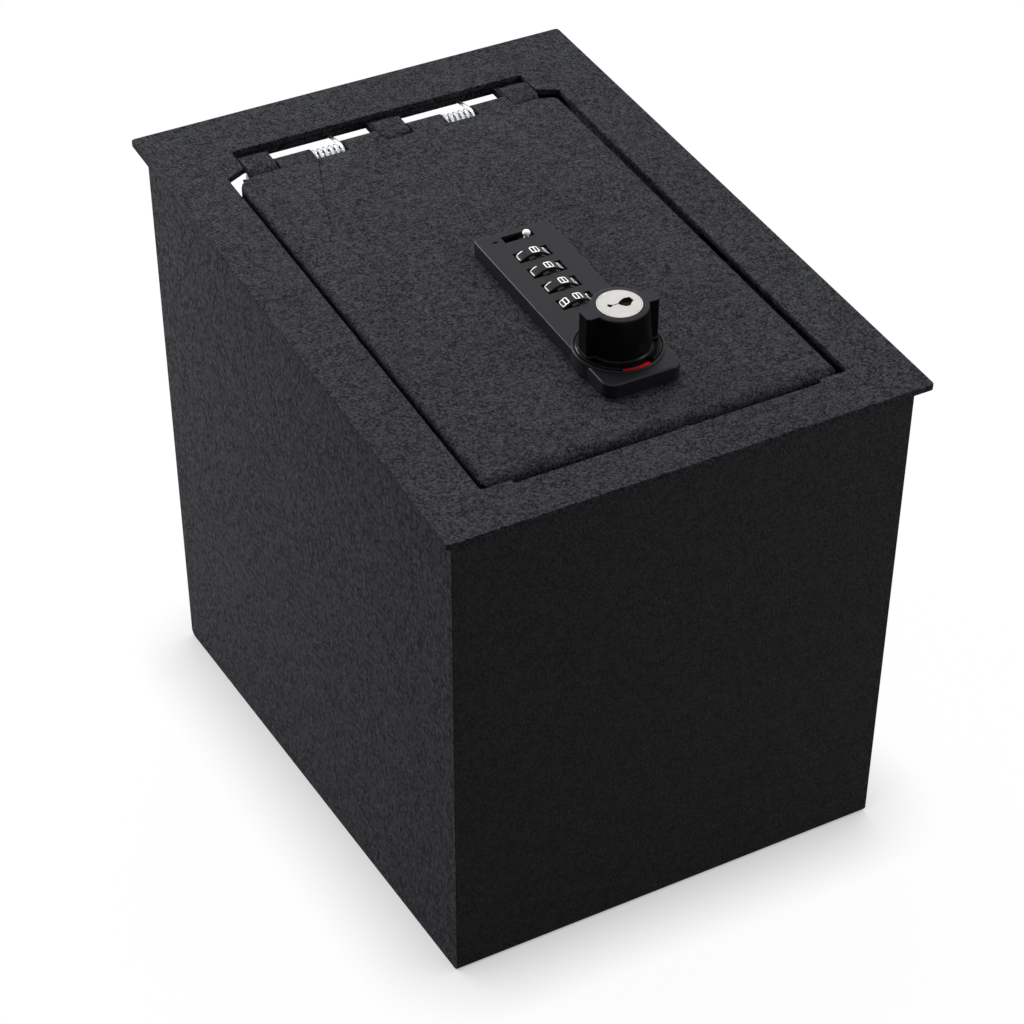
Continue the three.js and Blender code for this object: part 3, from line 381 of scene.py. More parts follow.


# Powder coat with a leather grain: wandering wrinkles with small ridges, cut by fine broken cracks. Its colour
# follows the grain's height: painted shade darkens the cracks and valleys, and painted highlight lightens the
# ridges and specks.
def leatherCoat(look):
    mat, shader = newFinish("leatherCoat", 0.0, look["specular"])
    place = addNode(mat, "TexCoord")
    wander = addNode(mat, "TexNoise", Scale=look["cell"] * 1.9, Detail=3.0, Roughness=0.65)
    centred = addNode(mat, "VectorMath", operation="SUBTRACT")
    centred.inputs[1].default_value = (0.5, 0.5, 0.5)
    push = addNode(mat, "VectorMath", operation="SCALE", Scale=look["wander"])
    moved = addNode(mat, "VectorMath", operation="ADD")
    cells = addNode(mat, "TexVoronoi", feature="DISTANCE_TO_EDGE", Scale=look["cell"])
    crack = addRange(mat, (0, look["crack"]), (1, 0), "SMOOTHSTEP")
    breaks = addNode(mat, "TexNoise", Scale=look["cell"] * 0.6, Detail=1.0, Roughness=0.5)
    broken = addRange(mat, look["breaks"], (0, 1))
    cut = addNode(mat, "Math", operation="MULTIPLY")
    wrinkles = addNode(mat, "TexNoise", Scale=look["wrinkle"], Detail=3.0, Roughness=0.6)
    wave = addRange(mat, look["waves"], (0, 1))
    ridges = addNode(mat, "TexNoise", noise_type="RIDGED_MULTIFRACTAL", Scale=look["speck"], Detail=1.0,
                     Roughness=0.6, Lacunarity=2.2, Offset=1.0, Gain=1.5)
    speck = addRange(mat, look["specks"], (0, 1))
    grain = addNode(mat, "TexNoise", Scale=look["grain"], Detail=2.0, Roughness=0.5)
    patches = addNode(mat, "TexNoise", Scale=look["patch"], Detail=2.0, Roughness=0.5)
    shift = addRange(mat, (0, 1), look["patchShift"])
    withPatch = addNode(mat, "Math", operation="MULTIPLY_ADD")
    withSpeck = addNode(mat, "Math", operation="MULTIPLY_ADD")
    withCrack = addNode(mat, "Math", operation="MULTIPLY_ADD")
    withPatch.inputs[1].default_value = look["shares"][0]
    withSpeck.inputs[1].default_value = look["shares"][1]
    withCrack.inputs[1].default_value = -look["shares"][2]
    relief = addNode(mat, "Bump", Strength=look["strength"], Distance=look["depth"])
    # The colour follows the height: painted shade low in the grain, painted highlight high on it.
    tone = addTone(mat, look["valley"], look["ridge"])
    gloss = addRange(mat, (0, 1), look["roughness"])
    wire(mat, (place.outputs["Object"], wander.inputs["Vector"]),
         (wander.outputs["Color"], centred.inputs[0]),
         (centred.outputs["Vector"], push.inputs[0]),
         (place.outputs["Object"], moved.inputs[0]), (push.outputs["Vector"], moved.inputs[1]),
         (moved.outputs["Vector"], cells.inputs["Vector"]),
         (moved.outputs["Vector"], ridges.inputs["Vector"]),
         (place.outputs["Object"], breaks.inputs["Vector"]),
         (place.outputs["Object"], wrinkles.inputs["Vector"]),
         (place.outputs["Object"], grain.inputs["Vector"]),
         (place.outputs["Object"], patches.inputs["Vector"]),
         (cells.outputs["Distance"], crack.inputs["Value"]), (breaks.outputs["Fac"], broken.inputs["Value"]),
         (crack.outputs["Result"], cut.inputs[0]), (broken.outputs["Result"], cut.inputs[1]),
         (wrinkles.outputs["Fac"], wave.inputs["Value"]), (ridges.outputs["Fac"], speck.inputs["Value"]),
         (patches.outputs["Fac"], shift.inputs["Value"]),
         (wave.outputs["Result"], withPatch.inputs[0]), (shift.outputs["Result"], withPatch.inputs[2]),
         (speck.outputs["Result"], withSpeck.inputs[0]), (withPatch.outputs["Value"], withSpeck.inputs[2]),
         (cut.outputs["Value"], withCrack.inputs[0]), (withSpeck.outputs["Value"], withCrack.inputs[2]),
         (withCrack.outputs["Value"], relief.inputs["Height"]),
         (withCrack.outputs["Value"], tone.inputs["Factor"]),
         (grain.outputs["Fac"], gloss.inputs["Value"]),
         (tone.outputs[2], shader.inputs["Base Color"]),
         (gloss.outputs["Result"], shader.inputs["Roughness"]),
         (relief.outputs["Normal"], shader.inputs["Normal"]))
    return mat


coat = leatherCoat(coatLook)
# The side panels have a coarser grain, and the sheet folded round the front a fainter one, with less painted shade
# and painted highlight in its colour.
sideCoat = leatherCoat(dict(coatLook, cell=270, wander=0.0034, wrinkle=450, speck=700))
wrapCoat = leatherCoat(dict(coatLook, valley=(0.034, 0.0345, 0.037), ridge=(0.086, 0.087, 0.092)))
satinBlack = grainFinish("satinBlack", (0.009, 0.0093, 0.0112), (0.012, 0.0124, 0.0148), (0.34, 0.42),
                         specular=0.17, scale=2600, bump=0.1)
knobBlack = grainFinish("knobBlack", (0.0032, 0.0032, 0.0036), (0.0052, 0.0052, 0.0057), (0.2, 0.3),
                        specular=0.07, scale=2600, bump=0.05)
wheelBlack = grainFinish("wheelBlack", (0.006, 0.006, 0.0065), (0.011, 0.011, 0.012), (0.34, 0.44),
                         specular=0.22, scale=2200, bump=0.08)
zinc = grainFinish("zinc", (0.55, 0.57, 0.6), (0.78, 0.8, 0.82), (0.16, 0.34), metallic=1.0,
                   scale=1400, bump=0.15, depth=0.00004)
nickel = grainFinish("nickel", (0.62, 0.6, 0.57), (0.8, 0.79, 0.77), (0.14, 0.26), metallic=1.0,
                     scale=1800, bump=0.1, depth=0.00003)
brass = grainFinish("brass", (0.42, 0.29, 0.1), (0.62, 0.45, 0.18), (0.22, 0.4), metallic=1.0,
                    scale=1300, bump=0.15, depth=0.00004)
white = grainFinish("whitePlastic", (0.88, 0.88, 0.87), (0.95, 0.95, 0.94), (0.35, 0.45),
                    scale=1500, bump=0.05)
numberWhite = grainFinish("numberWhite", (0.82, 0.82, 0.81), (0.92, 0.92, 0.91), (0.5, 0.62),
                          scale=2500, bump=0.05, depth=0.00001)
red = grainFinish("redPrint", (0.82, 0.006, 0.018), (0.95, 0.012, 0.03), (0.4, 0.5), specular=0.3,
                  scale=1500, bump=0.04, depth=0.00001)
green = grainFinish("greenPrint", (0.01, 0.22, 0.05), (0.02, 0.34, 0.09), (0.3, 0.42),
                    scale=1500, bump=0.04, depth=0.00001)
# Brass of the wafers, darkened with painted shade for the faces down in the keyway and its dishes.
keywayBrassAndShade = grainFinish("keywayBrassAndShade", (0.012, 0.008, 0.004), (0.05, 0.034, 0.016), (0.3, 0.5),
                         metallic=0.6, scale=1500, bump=0.2, depth=0.00005)
print("materials made")


# Box

boxSize = {
    "left": -98, "right": 92, "front": -145, "rear": 133, "top": -3.1,
    "depthFront": 220, "depthRear": 264.3, "sheet": 2.8, "fold": 3.2, "edge": 0.7, "past": 5,
    "reliefWidth": 147, "reliefTop": -8, "reliefHeight": 30,
    "hole": 8.5, "holeSpan": (110, 170),
}


def boxShell(size):
    thick = size["sheet"]
    drop = thick / math.cos(slope)
    lean = thick * math.tan(slope)
    outer = drawShape("boxShell", [
        (size["front"], size["top"]), (size["front"], -size["depthFront"], size["fold"]),
        (size["rear"], -size["depthRear"], size["fold"]), (size["rear"], size["top"])], steps=8)
    raiseShape(outer, size["left"], size["right"], "yz")
    inner = drawShape("boxHollow", [
        (size["front"] + thick, size["top"] + size["past"]),
        (size["front"] + thick, -size["depthFront"] + drop - lean, size["fold"] - thick),
        (size["rear"] - thick, -size["depthRear"] + drop + lean, size["fold"] - thick),
        (size["rear"] - thick, size["top"] + size["past"])], steps=4)
    raiseShape(inner, size["left"] + thick, size["right"] - thick, "yz")
    middle = (size["left"] + size["right"]) / 2
    relief = addBlock("relief", (middle - size["reliefWidth"] / 2, size["rear"] - 2 * thick,
                                 size["reliefTop"] - size["reliefHeight"]),
                      (middle + size["reliefWidth"] / 2, size["rear"] + thick, size["reliefTop"]))
    cutOut(outer, inner, relief)
    centre = Vector((middle, (size["front"] + size["rear"]) / 2,
                     -(size["depthFront"] + size["depthRear"]) / 2))
    for sideways in (-1, 1):
        for along in (-1, 1):
            hole = addBar("hole", "z", size["hole"], -3 * thick, 3 * thick,
                          (sideways * size["holeSpan"][0] / 2, along * size["holeSpan"][1] / 2), 32)
            hole.matrix_world = Matrix.Translation(centre) @ Matrix.Rotation(-slope, 4, "X")
            applyPlace(hole)
            cutOut(outer, hole)
    soften(outer, size["edge"], 3)
    return paint(outer, wrapCoat, sideCoat, lambda centre, normal: abs(normal.x) > 0.7)


finishPiece(boxShell(boxSize), "body", wrapCoat,
            ("body_wrap", "left_side_panel", "right_side_panel"))
print("box made")


# Flange

flangeSize = {
    "width": 200, "length": 292, "corner": 1.6, "sheet": 2.8, "edge": 0.45,
    "half": 76, "front": -124, "notch": -126, "notchHalf": 63.6, "radius": 1.5,
    "slotHalf": 67, "slotRear": 118.2, "shoulderFront": 100, "shoulderRear": 104.5,
}


def flangePlate(size):
    plate = drawShape("flangePlate", rectangle(size["width"], size["length"], size["corner"]))
    raiseShape(plate, -size["sheet"], 0)
    half, slot, notch, r = size["half"], size["slotHalf"], size["notchHalf"], size["radius"]
    opening = drawShape("opening", [
        (-half, size["front"], r), (-notch, size["front"]), (-notch, size["notch"]),
        (notch, size["notch"]), (notch, size["front"]), (half, size["front"], r),
        (half, size["shoulderFront"]), (slot, size["shoulderRear"]), (slot, size["slotRear"], r),
        (-slot, size["slotRear"], r), (-slot, size["shoulderRear"]), (-half, size["shoulderFront"])], steps=5)
    raiseShape(opening, -10, 5)
    cutOut(plate, opening)
    soften(plate, size["edge"], 3)
    return plate


finishPiece(flangePlate(flangeSize), "body", coat, ("flange_plate",))

stopSize = {
    "y": (-19.3, -1.3), "z": (-19.1, -16.3), "left": (-94.9, -67), "right": (67, 88.9),
    "corner": 3, "edge": 0.5,
}
for side in ("left", "right"):
    (x0, x1), (y0, y1), (z0, z1) = stopSize[side], stopSize["y"], stopSize["z"]
    tab = addBlock(f"lidStop{side.title()}", (x0, y0, z0), (x1, y1, z1))
    inward = x1 if side == "left" else x0
    pick(tab, "EDGE", lambda a, b: max(abs(a.x - inward), abs(b.x - inward)) < 0.01 and abs(a.z - b.z) > 1)
    bpy.ops.mesh.bevel(offset=stopSize["corner"], segments=6, affect="EDGES")
    leaveEdit()
    soften(tab, stopSize["edge"])
    finishPiece(tab, "body", coat, (f"lid_stop_{side}",))
print("flange made")


# Hinge

hingeSize = {
    "pinY": 103.7, "pinZ": -5.8, "pin": 6, "pinHalf": 65.9, "knuckle": 11.6, "bore": 6.1,
    "leafHalf": 66, "leafY": (118.2, 129.9), "leafZ": (-5.9, -3.1), "sheet": 2.8,
    "pitch": 60, "fixed": 12.5, "tail": 8.4, "curlEnd": 27, "curlStep": 9, "edge": 0.55, "pinEdge": 0.6,
}


# A sheet that curls round the pin: the outline of its edge, as (y, z). side -1 comes from the lid,
# side 1 from the rear.
def curl(size, side, start):
    outer, inner = size["knuckle"] / 2, size["bore"] / 2
    points = list(start)
    for radius, order in ((outer, 1), (inner, -1)):
        turns = sorted({*range(0, 270 - size["curlEnd"], size["curlStep"]), 270 - size["curlEnd"]})
        for turn in turns[::order]:
            a = math.radians(90 + side * turn)
            points.append((size["pinY"] + radius * math.cos(a), size["pinZ"] + radius * math.sin(a)))
    return points


def hingeLeaf(size):
    leaf = addBlock("hingeLeaf", (-size["leafHalf"], size["leafY"][0], size["leafZ"][0]),
                    (size["leafHalf"], size["leafY"][1], size["leafZ"][1]))
    step = size["pinY"] + size["tail"]
    low, high = size["leafZ"]
    for index in (-1, 0, 1):
        left = index * size["pitch"] - size["fixed"] / 2
        tongue = drawShape("tongue", curl(size, 1, [
            (step - size["sheet"], -size["sheet"]), (step - size["sheet"], low),
            (size["leafY"][0] + 1, low), (size["leafY"][0] + 1, high), (step, high), (step, 0)]))
        raiseShape(tongue, left, left + size["fixed"], "yz")
        joinOn(leaf, tongue)
    return soften(leaf, size["edge"], 3)


finishPiece(hingeLeaf(hingeSize), "body", coat, ("hinge_leaf",))

pin = addBar("hingePin", "x", hingeSize["pin"], -hingeSize["pinHalf"], hingeSize["pinHalf"],
             (hingeSize["pinY"], hingeSize["pinZ"]), 48)
soften(pin, hingeSize["pinEdge"], 3)
finishPiece(pin, "body", zinc, ("hinge_pin",))

springSize = {
    "wire": 1.6, "mean": 8.8, "turns": 5, "bay": 14.8, "sideGap": 0.35, "legReach": 19.5,
    "legZ": -4.1, "legStart": 142, "legBend": ((0.8, 0), (-0.5, 0.35)), "restTip": (14.2, -4.5), "steps": 20,
}


# The spring's centre line: a leg under the lid, the turns, and a leg back to the hinge leaf.
def springLine(size, pinY, pinZ):
    radius = size["mean"] / 2
    pitch = (size["bay"] - 2 * size["sideGap"] - size["wire"]) / size["turns"]
    tip = Vector((size["restTip"][0], size["restTip"][1] - pinZ))
    start = math.radians(size["legStart"])
    end = math.atan2(tip.y, tip.x) + math.acos(radius / tip.length)
    turn = 2 * math.pi * size["turns"] + start - end
    width = pitch * turn / (2 * math.pi)
    legZ = size["legZ"] - pinZ
    first = Vector((math.cos(start), math.sin(start))) * radius
    lead = (first.y - legZ) / math.sin(start - math.pi / 2)
    bend = first.x + lead * math.cos(start + math.pi / 2)
    line = [(0, -size["legReach"], legZ), *((0, bend - y, legZ + z) for y, z in size["legBend"])]
    count = round(turn / (2 * math.pi) * size["steps"])
    for i in range(count + 1):
        a = start - turn * i / count
        line.append((width * i / count, radius * math.cos(a), radius * math.sin(a)))
    line.append((width, tip.x, tip.y))
    return [(x - width / 2, pinY + y, pinZ + z) for x, y, z in line], width


def wireAlong(name, line, diameter):
    drawLine(name, line)
    leaveEdit()
    bpy.ops.object.convert(target="CURVE")
    path = bpy.context.view_layer.objects.active
    path.data.bevel_depth, path.data.bevel_resolution, path.data.use_fill_caps = diameter / 2, 3, True
    bpy.ops.object.convert(target="MESH")
    made = bpy.context.view_layer.objects.active
    made.name = name
    return tidyMesh(made)


coilLine, coilWidth = springLine(springSize, hingeSize["pinY"], hingeSize["pinZ"])
for side, name in ((-1, "Left"), (1, "Right")):
    spring = wireAlong(f"hingeSpring{name}", coilLine, springSize["wire"])
    middle = side * hingeSize["pitch"] / 2
    spring.location.x = middle
    applyPlace(spring)
    ends = [toSafe @ Vector((middle + end * (coilWidth / 2 - 1), hingeSize["pinY"], hingeSize["pinZ"]))
            for end in (1, -1)]
    finishPiece(spring, "body", zinc, (f"hinge_spring_{name.lower()}",),
                blendBetween=("lid", ends[0], ends[1]))
print("hinge made")


# Lid

lidSize = {
    "half": 73.5, "front": -122, "rear": 97.4, "tail": 65.5, "shoulder": 3.5, "skirt": 16, "sheet": 2.8,
    "frontBend": 5, "sideBend": 3, "corner": 3.5, "tailCorner": 3, "tightBend": 0.2,
    "cornerRelief": 5,
    "knuckles": ((6.8, 22.6), (37.4, 53.2)),
    "dials": ((-5.9, 13.9), (-52.5, -2.5)), "sleeve": 19.8, "screwHole": 5.2,
    "boltZ": (-8.1, -3.5), "boltHalf": 6.3, "edge": 0.45, "through": (-4, 1),
}
caseScrews = ((-8.2, -51.5), (16.2, -51.5), (-8.2, 3.6), (16.2, 3.6))


# The lid's outside, or its hollow when drawn one sheet further in.
def lidForm(size, inset):
    half, front = size["half"] - inset, size["front"] + inset
    low, top = -size["skirt"] - 2 * inset, -inset
    lean = math.atan2(size["shoulder"], size["half"] - size["tail"])
    rear = size["rear"] - inset * (1 - math.sin(lean)) / math.cos(lean)
    shoulder, tail = rear - size["shoulder"], size["tail"] - inset

    def bend(outside):
        return max(outside - inset, size["tightBend"])

    plan = drawShape("lidPanel", [
        (-half, front, bend(size["corner"])), (half, front, bend(size["corner"])),
        (half, shoulder, bend(size["corner"])), (tail, rear, bend(size["tailCorner"])),
        (-tail, rear, bend(size["tailCorner"])), (-half, shoulder, bend(size["corner"]))], steps=8)
    raiseShape(plan, low, top)
    side = drawShape("lidSide", [(front, low), (rear, low), (rear, top),
                                 (front, top, bend(size["frontBend"]))], steps=10)
    raiseShape(side, -half - 1, half + 1, "yz")
    section = drawShape("lidSection", [(-half, low), (half, low), (half, top, bend(size["sideBend"])),
                                       (-half, top, bend(size["sideBend"]))], steps=8)
    raiseShape(section, front - 1, rear + 1, "xz")
    return keepInside(plan, side, section)


def lidPanel(size, hinge):
    half, front = size["half"], size["front"]
    lid = cutOut(lidForm(size, 0), lidForm(size, size["sheet"]))
    openRear = size["tail"] - size["sheet"]
    cutOut(lid, addBlock("gap", (-openRear, size["rear"] - size["shoulder"], -size["skirt"] - 1),
                         (openRear, hinge["pinY"], -size["sheet"])))
    for side in (-1, 1):
        x = sorted((side * (half + 1), side * (half - size["cornerRelief"])))
        cutOut(lid, addBlock("gap", (x[0], front - 1, -size["skirt"] - 1),
                             (x[1], front + size["cornerRelief"], -size["frontBend"])))
    for near, far in size["knuckles"]:
        for left, right in ((near, far), (-far, -near)):
            strip = drawShape("strip", curl(hinge, -1, [(size["rear"] - 1, -size["sheet"]),
                                                        (size["rear"] - 1, 0)]))
            raiseShape(strip, left, right, "yz")
            joinOn(lid, strip)
    low, high = size["boltZ"]
    (x0, x1), (y0, y1) = size["dials"]
    under, over = size["through"]
    b = size["boltHalf"]
    cutOut(lid, addBlock("gap", (-half - 1, knobY - b, low), (half + 1, knobY + b, high)),
           addBlock("gap", (lockX - b, front - 1, low), (lockX + b, knobY, high)),
           addBlock("gap", (x0, y0, under), (x1, y1, over)),
           addBar("gap", "z", size["sleeve"], under, over, (lockX, knobY), 48),
           *(addBar("gap", "z", size["screwHole"], under, over, spot, 24) for spot in caseScrews))
    mergeFlats(lid)
    for spot, direction in (((0, 0, (low + high) / 2), (0, 0, 1)), ((lockX, 0, 0), (1, 0, 0)),
                            ((0, knobY, 0), (0, 1, 0)),
                            *(((screw[0], 0, 0), (1, 0, 0)) for screw in caseScrews[:2])):
        splitAcross(lid, spot, direction)
    return soften(lid, size["edge"], 3)


finishPiece(lidPanel(lidSize, hingeSize), "lid", coat, ("lid_panel",))
print("lid made")


# Lock housing

lockSize = {
    "left": -12.25, "right": 20.25, "front": -100.4, "rear": 7, "low": 0.3, "top": 6.3, "ceiling": 4.6,
    "frontCorner": 5, "rearCorner": 1.5, "edge": 0.75, "seatEdge": 0.3, "smallEdge": 0.22,
    "seat": 35, "seatTop": 7, "seatInner": 33.2, "seatFloor": 5.1,
    "pocketX": (-7.3, 15.3), "pocketY": (-52.1, 5.3),
    "window": (14.6, 7), "wheelsAt": (-46.9, -35.3, -23.7, -12.1),
    "axleZ": -1.8, "axleHole": 3.34, "axleEnds": (-53.6, -1.4),
    "slotX": (-2, 11), "slotY": (-0.7, 3.7),
    "mark": (-5.3, 1.5), "markHole": 1.4, "markGroove": (2.6, 0.8, 0.5),
    "cheekY": (-52.1, -4.4), "cheekWidth": 8, "cheekThick": 1.5, "cheekLow": -4.8,
    "sleeve": 19, "sleeveLow": -2.8, "bore": 12.16,
    "boss": 4.4, "bossLow": -3.1, "screwHole": 3,
}


def lockHousing(size):
    low, top, ceiling = size["low"], size["top"], size["ceiling"]
    front, rear = (size["front"], size["frontCorner"]), (size["rear"], size["rearCorner"])
    shell = drawShape("lockHousing", [(size["left"], *front), (size["right"], *front),
                                      (size["right"], *rear), (size["left"], *rear)], steps=12)
    raiseShape(shell, low, top)
    roundTop(shell, top, size["edge"])
    ring = addBar("seatRing", "z", size["seat"], low, size["seatTop"], (lockX, knobY), 96)
    joinOn(shell, soften(ring, size["seatEdge"], 3))
    cutOut(shell, addBar("seat", "z", size["seatInner"], size["seatFloor"], top + 2, (lockX, knobY), 96))
    (x0, x1), (y0, y1) = size["pocketX"], size["pocketY"]
    cutOut(shell, addBlock("pocket", (x0, y0, low - 1), (x1, y1, ceiling)))
    wide, long = size["window"]
    for y in size["wheelsAt"]:
        cutOut(shell, addBlock("window", (lockX - wide / 2, y - long / 2, ceiling - 1),
                               (lockX + wide / 2, y + long / 2, top + 1)))
    (x0, x1), (y0, y1) = size["slotX"], size["slotY"]
    cutOut(shell, addBlock("slot", (x0, y0, ceiling - 1), (x1, y1, top + 1)),
           addBar("mark", "z", size["markHole"], ceiling - 1, top + 1, size["mark"], 24))
    markLong, markWide, markDeep = size["markGroove"]
    x, y = size["mark"]
    cutOut(shell, addBlock("markGroove", (x - markLong / 2, y - markWide / 2, top - markDeep),
                           (x + markLong / 2, y + markWide / 2, top + 1)))
    soften(shell, size["smallEdge"], 2)
    for y in size["cheekY"]:
        joinOn(shell, addBlock("cheek", (lockX - size["cheekWidth"] / 2, y, size["cheekLow"]),
                               (lockX + size["cheekWidth"] / 2, y + size["cheekThick"], ceiling + 0.5)))
    for spot in caseScrews:
        joinOn(shell, addBar("boss", "z", size["boss"], size["bossLow"], ceiling + 0.5, spot, 32))
        cutOut(shell, addBar("hole", "z", size["screwHole"], size["bossLow"] - 1, 2, spot, 24))
    joinOn(shell, addBar("sleeve", "z", size["sleeve"], size["sleeveLow"], low + 0.5, (lockX, knobY), 64))
    return cutOut(shell, addBar("bore", "z", size["bore"], size["sleeveLow"] - 1, top, (lockX, knobY), 64),
                  addBar("axleHole", "y", size["axleHole"], *size["axleEnds"], (lockX, size["axleZ"]), 32))


finishPiece(lockHousing(lockSize), "lid", satinBlack, ("lock_housing",), smooth=28)
print("lock housing made")


# Number wheels

wheelSize = {
    "band": 19, "rim": 17.4, "width": 6.4, "rimWidth": 1.8, "hole": 3.54, "edge": 0.25, "rimEdge": 0.15,
    "groove": 3.4, "grooveOut": 0.6, "grooves": 10,
    "tops": (9, 8, 8, 8),   # the digits on top, from front to rear
    "turn": 6.5,            # degrees that they stand off the top
    "digitHigh": 3.5, "digitWide": 3.9, "digitCorner": 0.8, "cellCorner": 0.35, "stroke": 0.46,
    "tileThick": 1.2, "proud": 0.05, "sunk": 0.25,
}

# A digit is a rounded tile with an upper and a lower cell, or one tall cell, cut out of it. The letters
# are the sides on which a cell is open: left, right, top, bottom.
digitCells = {
    0: {"tall": ""}, 1: {"tall": "ltb"}, 2: {"upper": "l", "lower": "r"}, 3: {"upper": "l", "lower": "l"},
    4: {"upper": "t", "lower": "lb"}, 5: {"upper": "r", "lower": "l"}, 6: {"upper": "r", "lower": ""},
    7: {"tall": "lb"}, 8: {"upper": "", "lower": ""}, 9: {"upper": "", "lower": "l"},
}


# A wheel about its own axis, in front of and behind y = 0: a smooth band with a lower ribbed rim.
def numberWheel(size):
    half = size["width"] / 2
    wheel = addBar("numberWheel", "y", size["band"], -half + size["rimWidth"], half, (0, 0), 120)
    soften(wheel, size["edge"], 3)
    rim = addBar("rim", "y", size["rim"], -half, -half + size["rimWidth"] + 0.5, (0, 0), 120)
    for i in range(size["grooves"]):
        a = 2 * math.pi * (i + 0.5) / size["grooves"]
        out = size["rim"] / 2 + size["grooveOut"]
        groove = addBar("groove", "y", size["groove"], -half - 1, -half + size["rimWidth"],
                        (math.cos(a) * out, math.sin(a) * out), 24)
        cutOut(rim, groove)
    joinOn(wheel, soften(rim, size["rimEdge"], 2))
    return cutOut(wheel, addBar("hole", "y", size["hole"], -half - 1, half + 1, (0, 0), 32))


def digitTile(size, cells):
    wide, high, stroke = size["digitWide"] / 2, size["digitHigh"] / 2, size["stroke"]
    corner, past = size["cellCorner"], 2 * stroke + size["cellCorner"]
    tile = drawShape("digit", rectangle(size["digitWide"], size["digitHigh"], size["digitCorner"]))
    raiseShape(tile, -size["tileThick"] / 2, size["tileThick"] / 2)
    for cell, openSides in cells.items():
        left, right = -wide + stroke - past * ("l" in openSides), wide - stroke + past * ("r" in openSides)
        low = (stroke / 2 if cell == "upper" else -high + stroke) - past * ("b" in openSides)
        top = (-stroke / 2 if cell == "lower" else high - stroke) + past * ("t" in openSides)
        cutOut(tile, raiseShape(drawShape("cell", [
            (left, low, corner), (right, low, corner), (right, top, corner), (left, top, corner)]), -1, 1))
    return tile


# Ten digits round the band, standing up to the left, kept only inside a thin tube.
def digitRing(size):
    radius, half = size["band"] / 2, size["width"] / 2
    upToLeft = Matrix(((0, -1, 0, 0), (1, 0, 0, 0), (0, 0, 1, 0), (0, 0, 0, 1)))
    digits = []
    for number, cells in digitCells.items():
        digit = digitTile(size, cells)
        digit.matrix_world = (Matrix.Rotation(math.radians(36 * number), 4, "Y")
                              @ Matrix.Translation((0, size["rimWidth"] / 2, radius)) @ upToLeft)
        digits.append(applyPlace(digit))
    only(*digits)
    bpy.ops.object.join()
    ring = bpy.context.view_layer.objects.active
    tube = addBar("tube", "y", 2 * (radius + size["proud"]), -half, half, (0, 0), 240)
    cutOut(tube, addBar("core", "y", 2 * (radius - size["sunk"]), -half - 0.8, half + 0.8, (0, 0), 240))
    return keepInside(ring, tube)


wheelForm = numberWheel(wheelSize)
digitForm = digitRing(wheelSize)
for index, (y, top) in enumerate(zip(lockSize["wheelsAt"], wheelSize["tops"]), start=1):
    axle = (lockX, y, lockSize["axleZ"])
    for form, name, material, slotName, nodes in (
            (wheelForm, "numberWheel", wheelBlack, "wheel_black", (f"number_wheel_{index}",)),
            (digitForm, "wheelDigits", numberWhite, "white", ())):
        made = copyOf(form, f"{name}{index}")
        made.matrix_world = (Matrix.Translation(axle)
                             @ Matrix.Rotation(math.radians(wheelSize["turn"] - 36 * top), 4, "Y"))
        applyPlace(made)
        finishPiece(made, f"wheel_{index}", material, nodes, smooth=25)
for form in (wheelForm, digitForm):
    bpy.data.objects.remove(form)
print("number wheels made")


# Code-change slider: a white pin head on a thin stem, standing on a dark plate inside the housing

sliderSize = {
    "at": (8.3, 1.5), "plate": 6, "plateZ": (2.8, 4.3), "edge": 0.3, "stem": 1.5, "collar": 2.4,
    "ball": 3.2, "ballHigh": 2.5, "ballZ": 6.75,
}


def sliderPin(size):
    x, y = size["at"]
    bpy.ops.mesh.primitive_uv_sphere_add(segments=40, ring_count=20, radius=size["ball"] / 2,
                                         location=(x, y, size["ballZ"]),
                                         scale=(1, 1, size["ballHigh"] / size["ball"]))
    ball = applyPlace(bpy.context.object)
    ball.name = "codeSliderPin"
    top = size["plateZ"][1]
    stem = addBar("stem", "z", size["stem"], top - 0.2, size["ballZ"], size["at"], 32)
    collar = addBar("collar", "z", size["collar"], top - 0.2, top + 0.4, size["at"], 32)
    return joinOn(ball, stem, collar)


def sliderPlate(size):
    (x, y), reach, (low, high) = size["at"], size["plate"] / 2, size["plateZ"]
    plate = addBlock("codeSliderPlate", (x - reach, y - reach, low), (x + reach, y + reach, high))
    cutOut(plate, addBar("hole", "z", size["stem"] + 1, high - 0.25, 6, (x, y), 32))
    return soften(plate, size["edge"], 2)


finishPiece(sliderPin(sliderSize), "code_slider", white, ("code_slider",), smooth=40)
finishPiece(sliderPlate(sliderSize), "code_slider", wheelBlack)


# Knob, drawn about the lock's knob axis

knobSize = {
    "low": 5.8, "baseTop": 7.4, "base": 32.2, "foot": 25, "boss": 22.6, "high": 25, "rim": 0.9,
    "baseGroove": (29.6, 28.8, 0.35), "crease": 0.22,
    "span": 30.4, "wing": 7.6, "wingCorner": 1.3, "wingLow": 6.9, "wingTop": 24.9, "edge": 0.35,
    "pad": (30.9, 9, 8.5), "padCorner": 1.6, "padEdge": 0.7,
    "faceHole": 17.9, "faceSeat": 22.6, "barrelHole": 13.06, "barrelLow": 11.7,
    "tailHole": 8.24, "tailTop": 10.5,
    "windowInner": 26.6, "windowSpan": 50, "windowAt": -89,
}


# A ring sector drawn flat about the origin.
def sector(name, inner, outer, middle, span, steps=24):
    corners = []
    for radius, order in ((outer, 1), (inner, -1)):
        for k in range(steps + 1)[::order]:
            a = math.radians(middle - span / 2 + span * k / steps)
            corners.append((radius * math.cos(a), radius * math.sin(a)))
    return drawShape(name, corners)


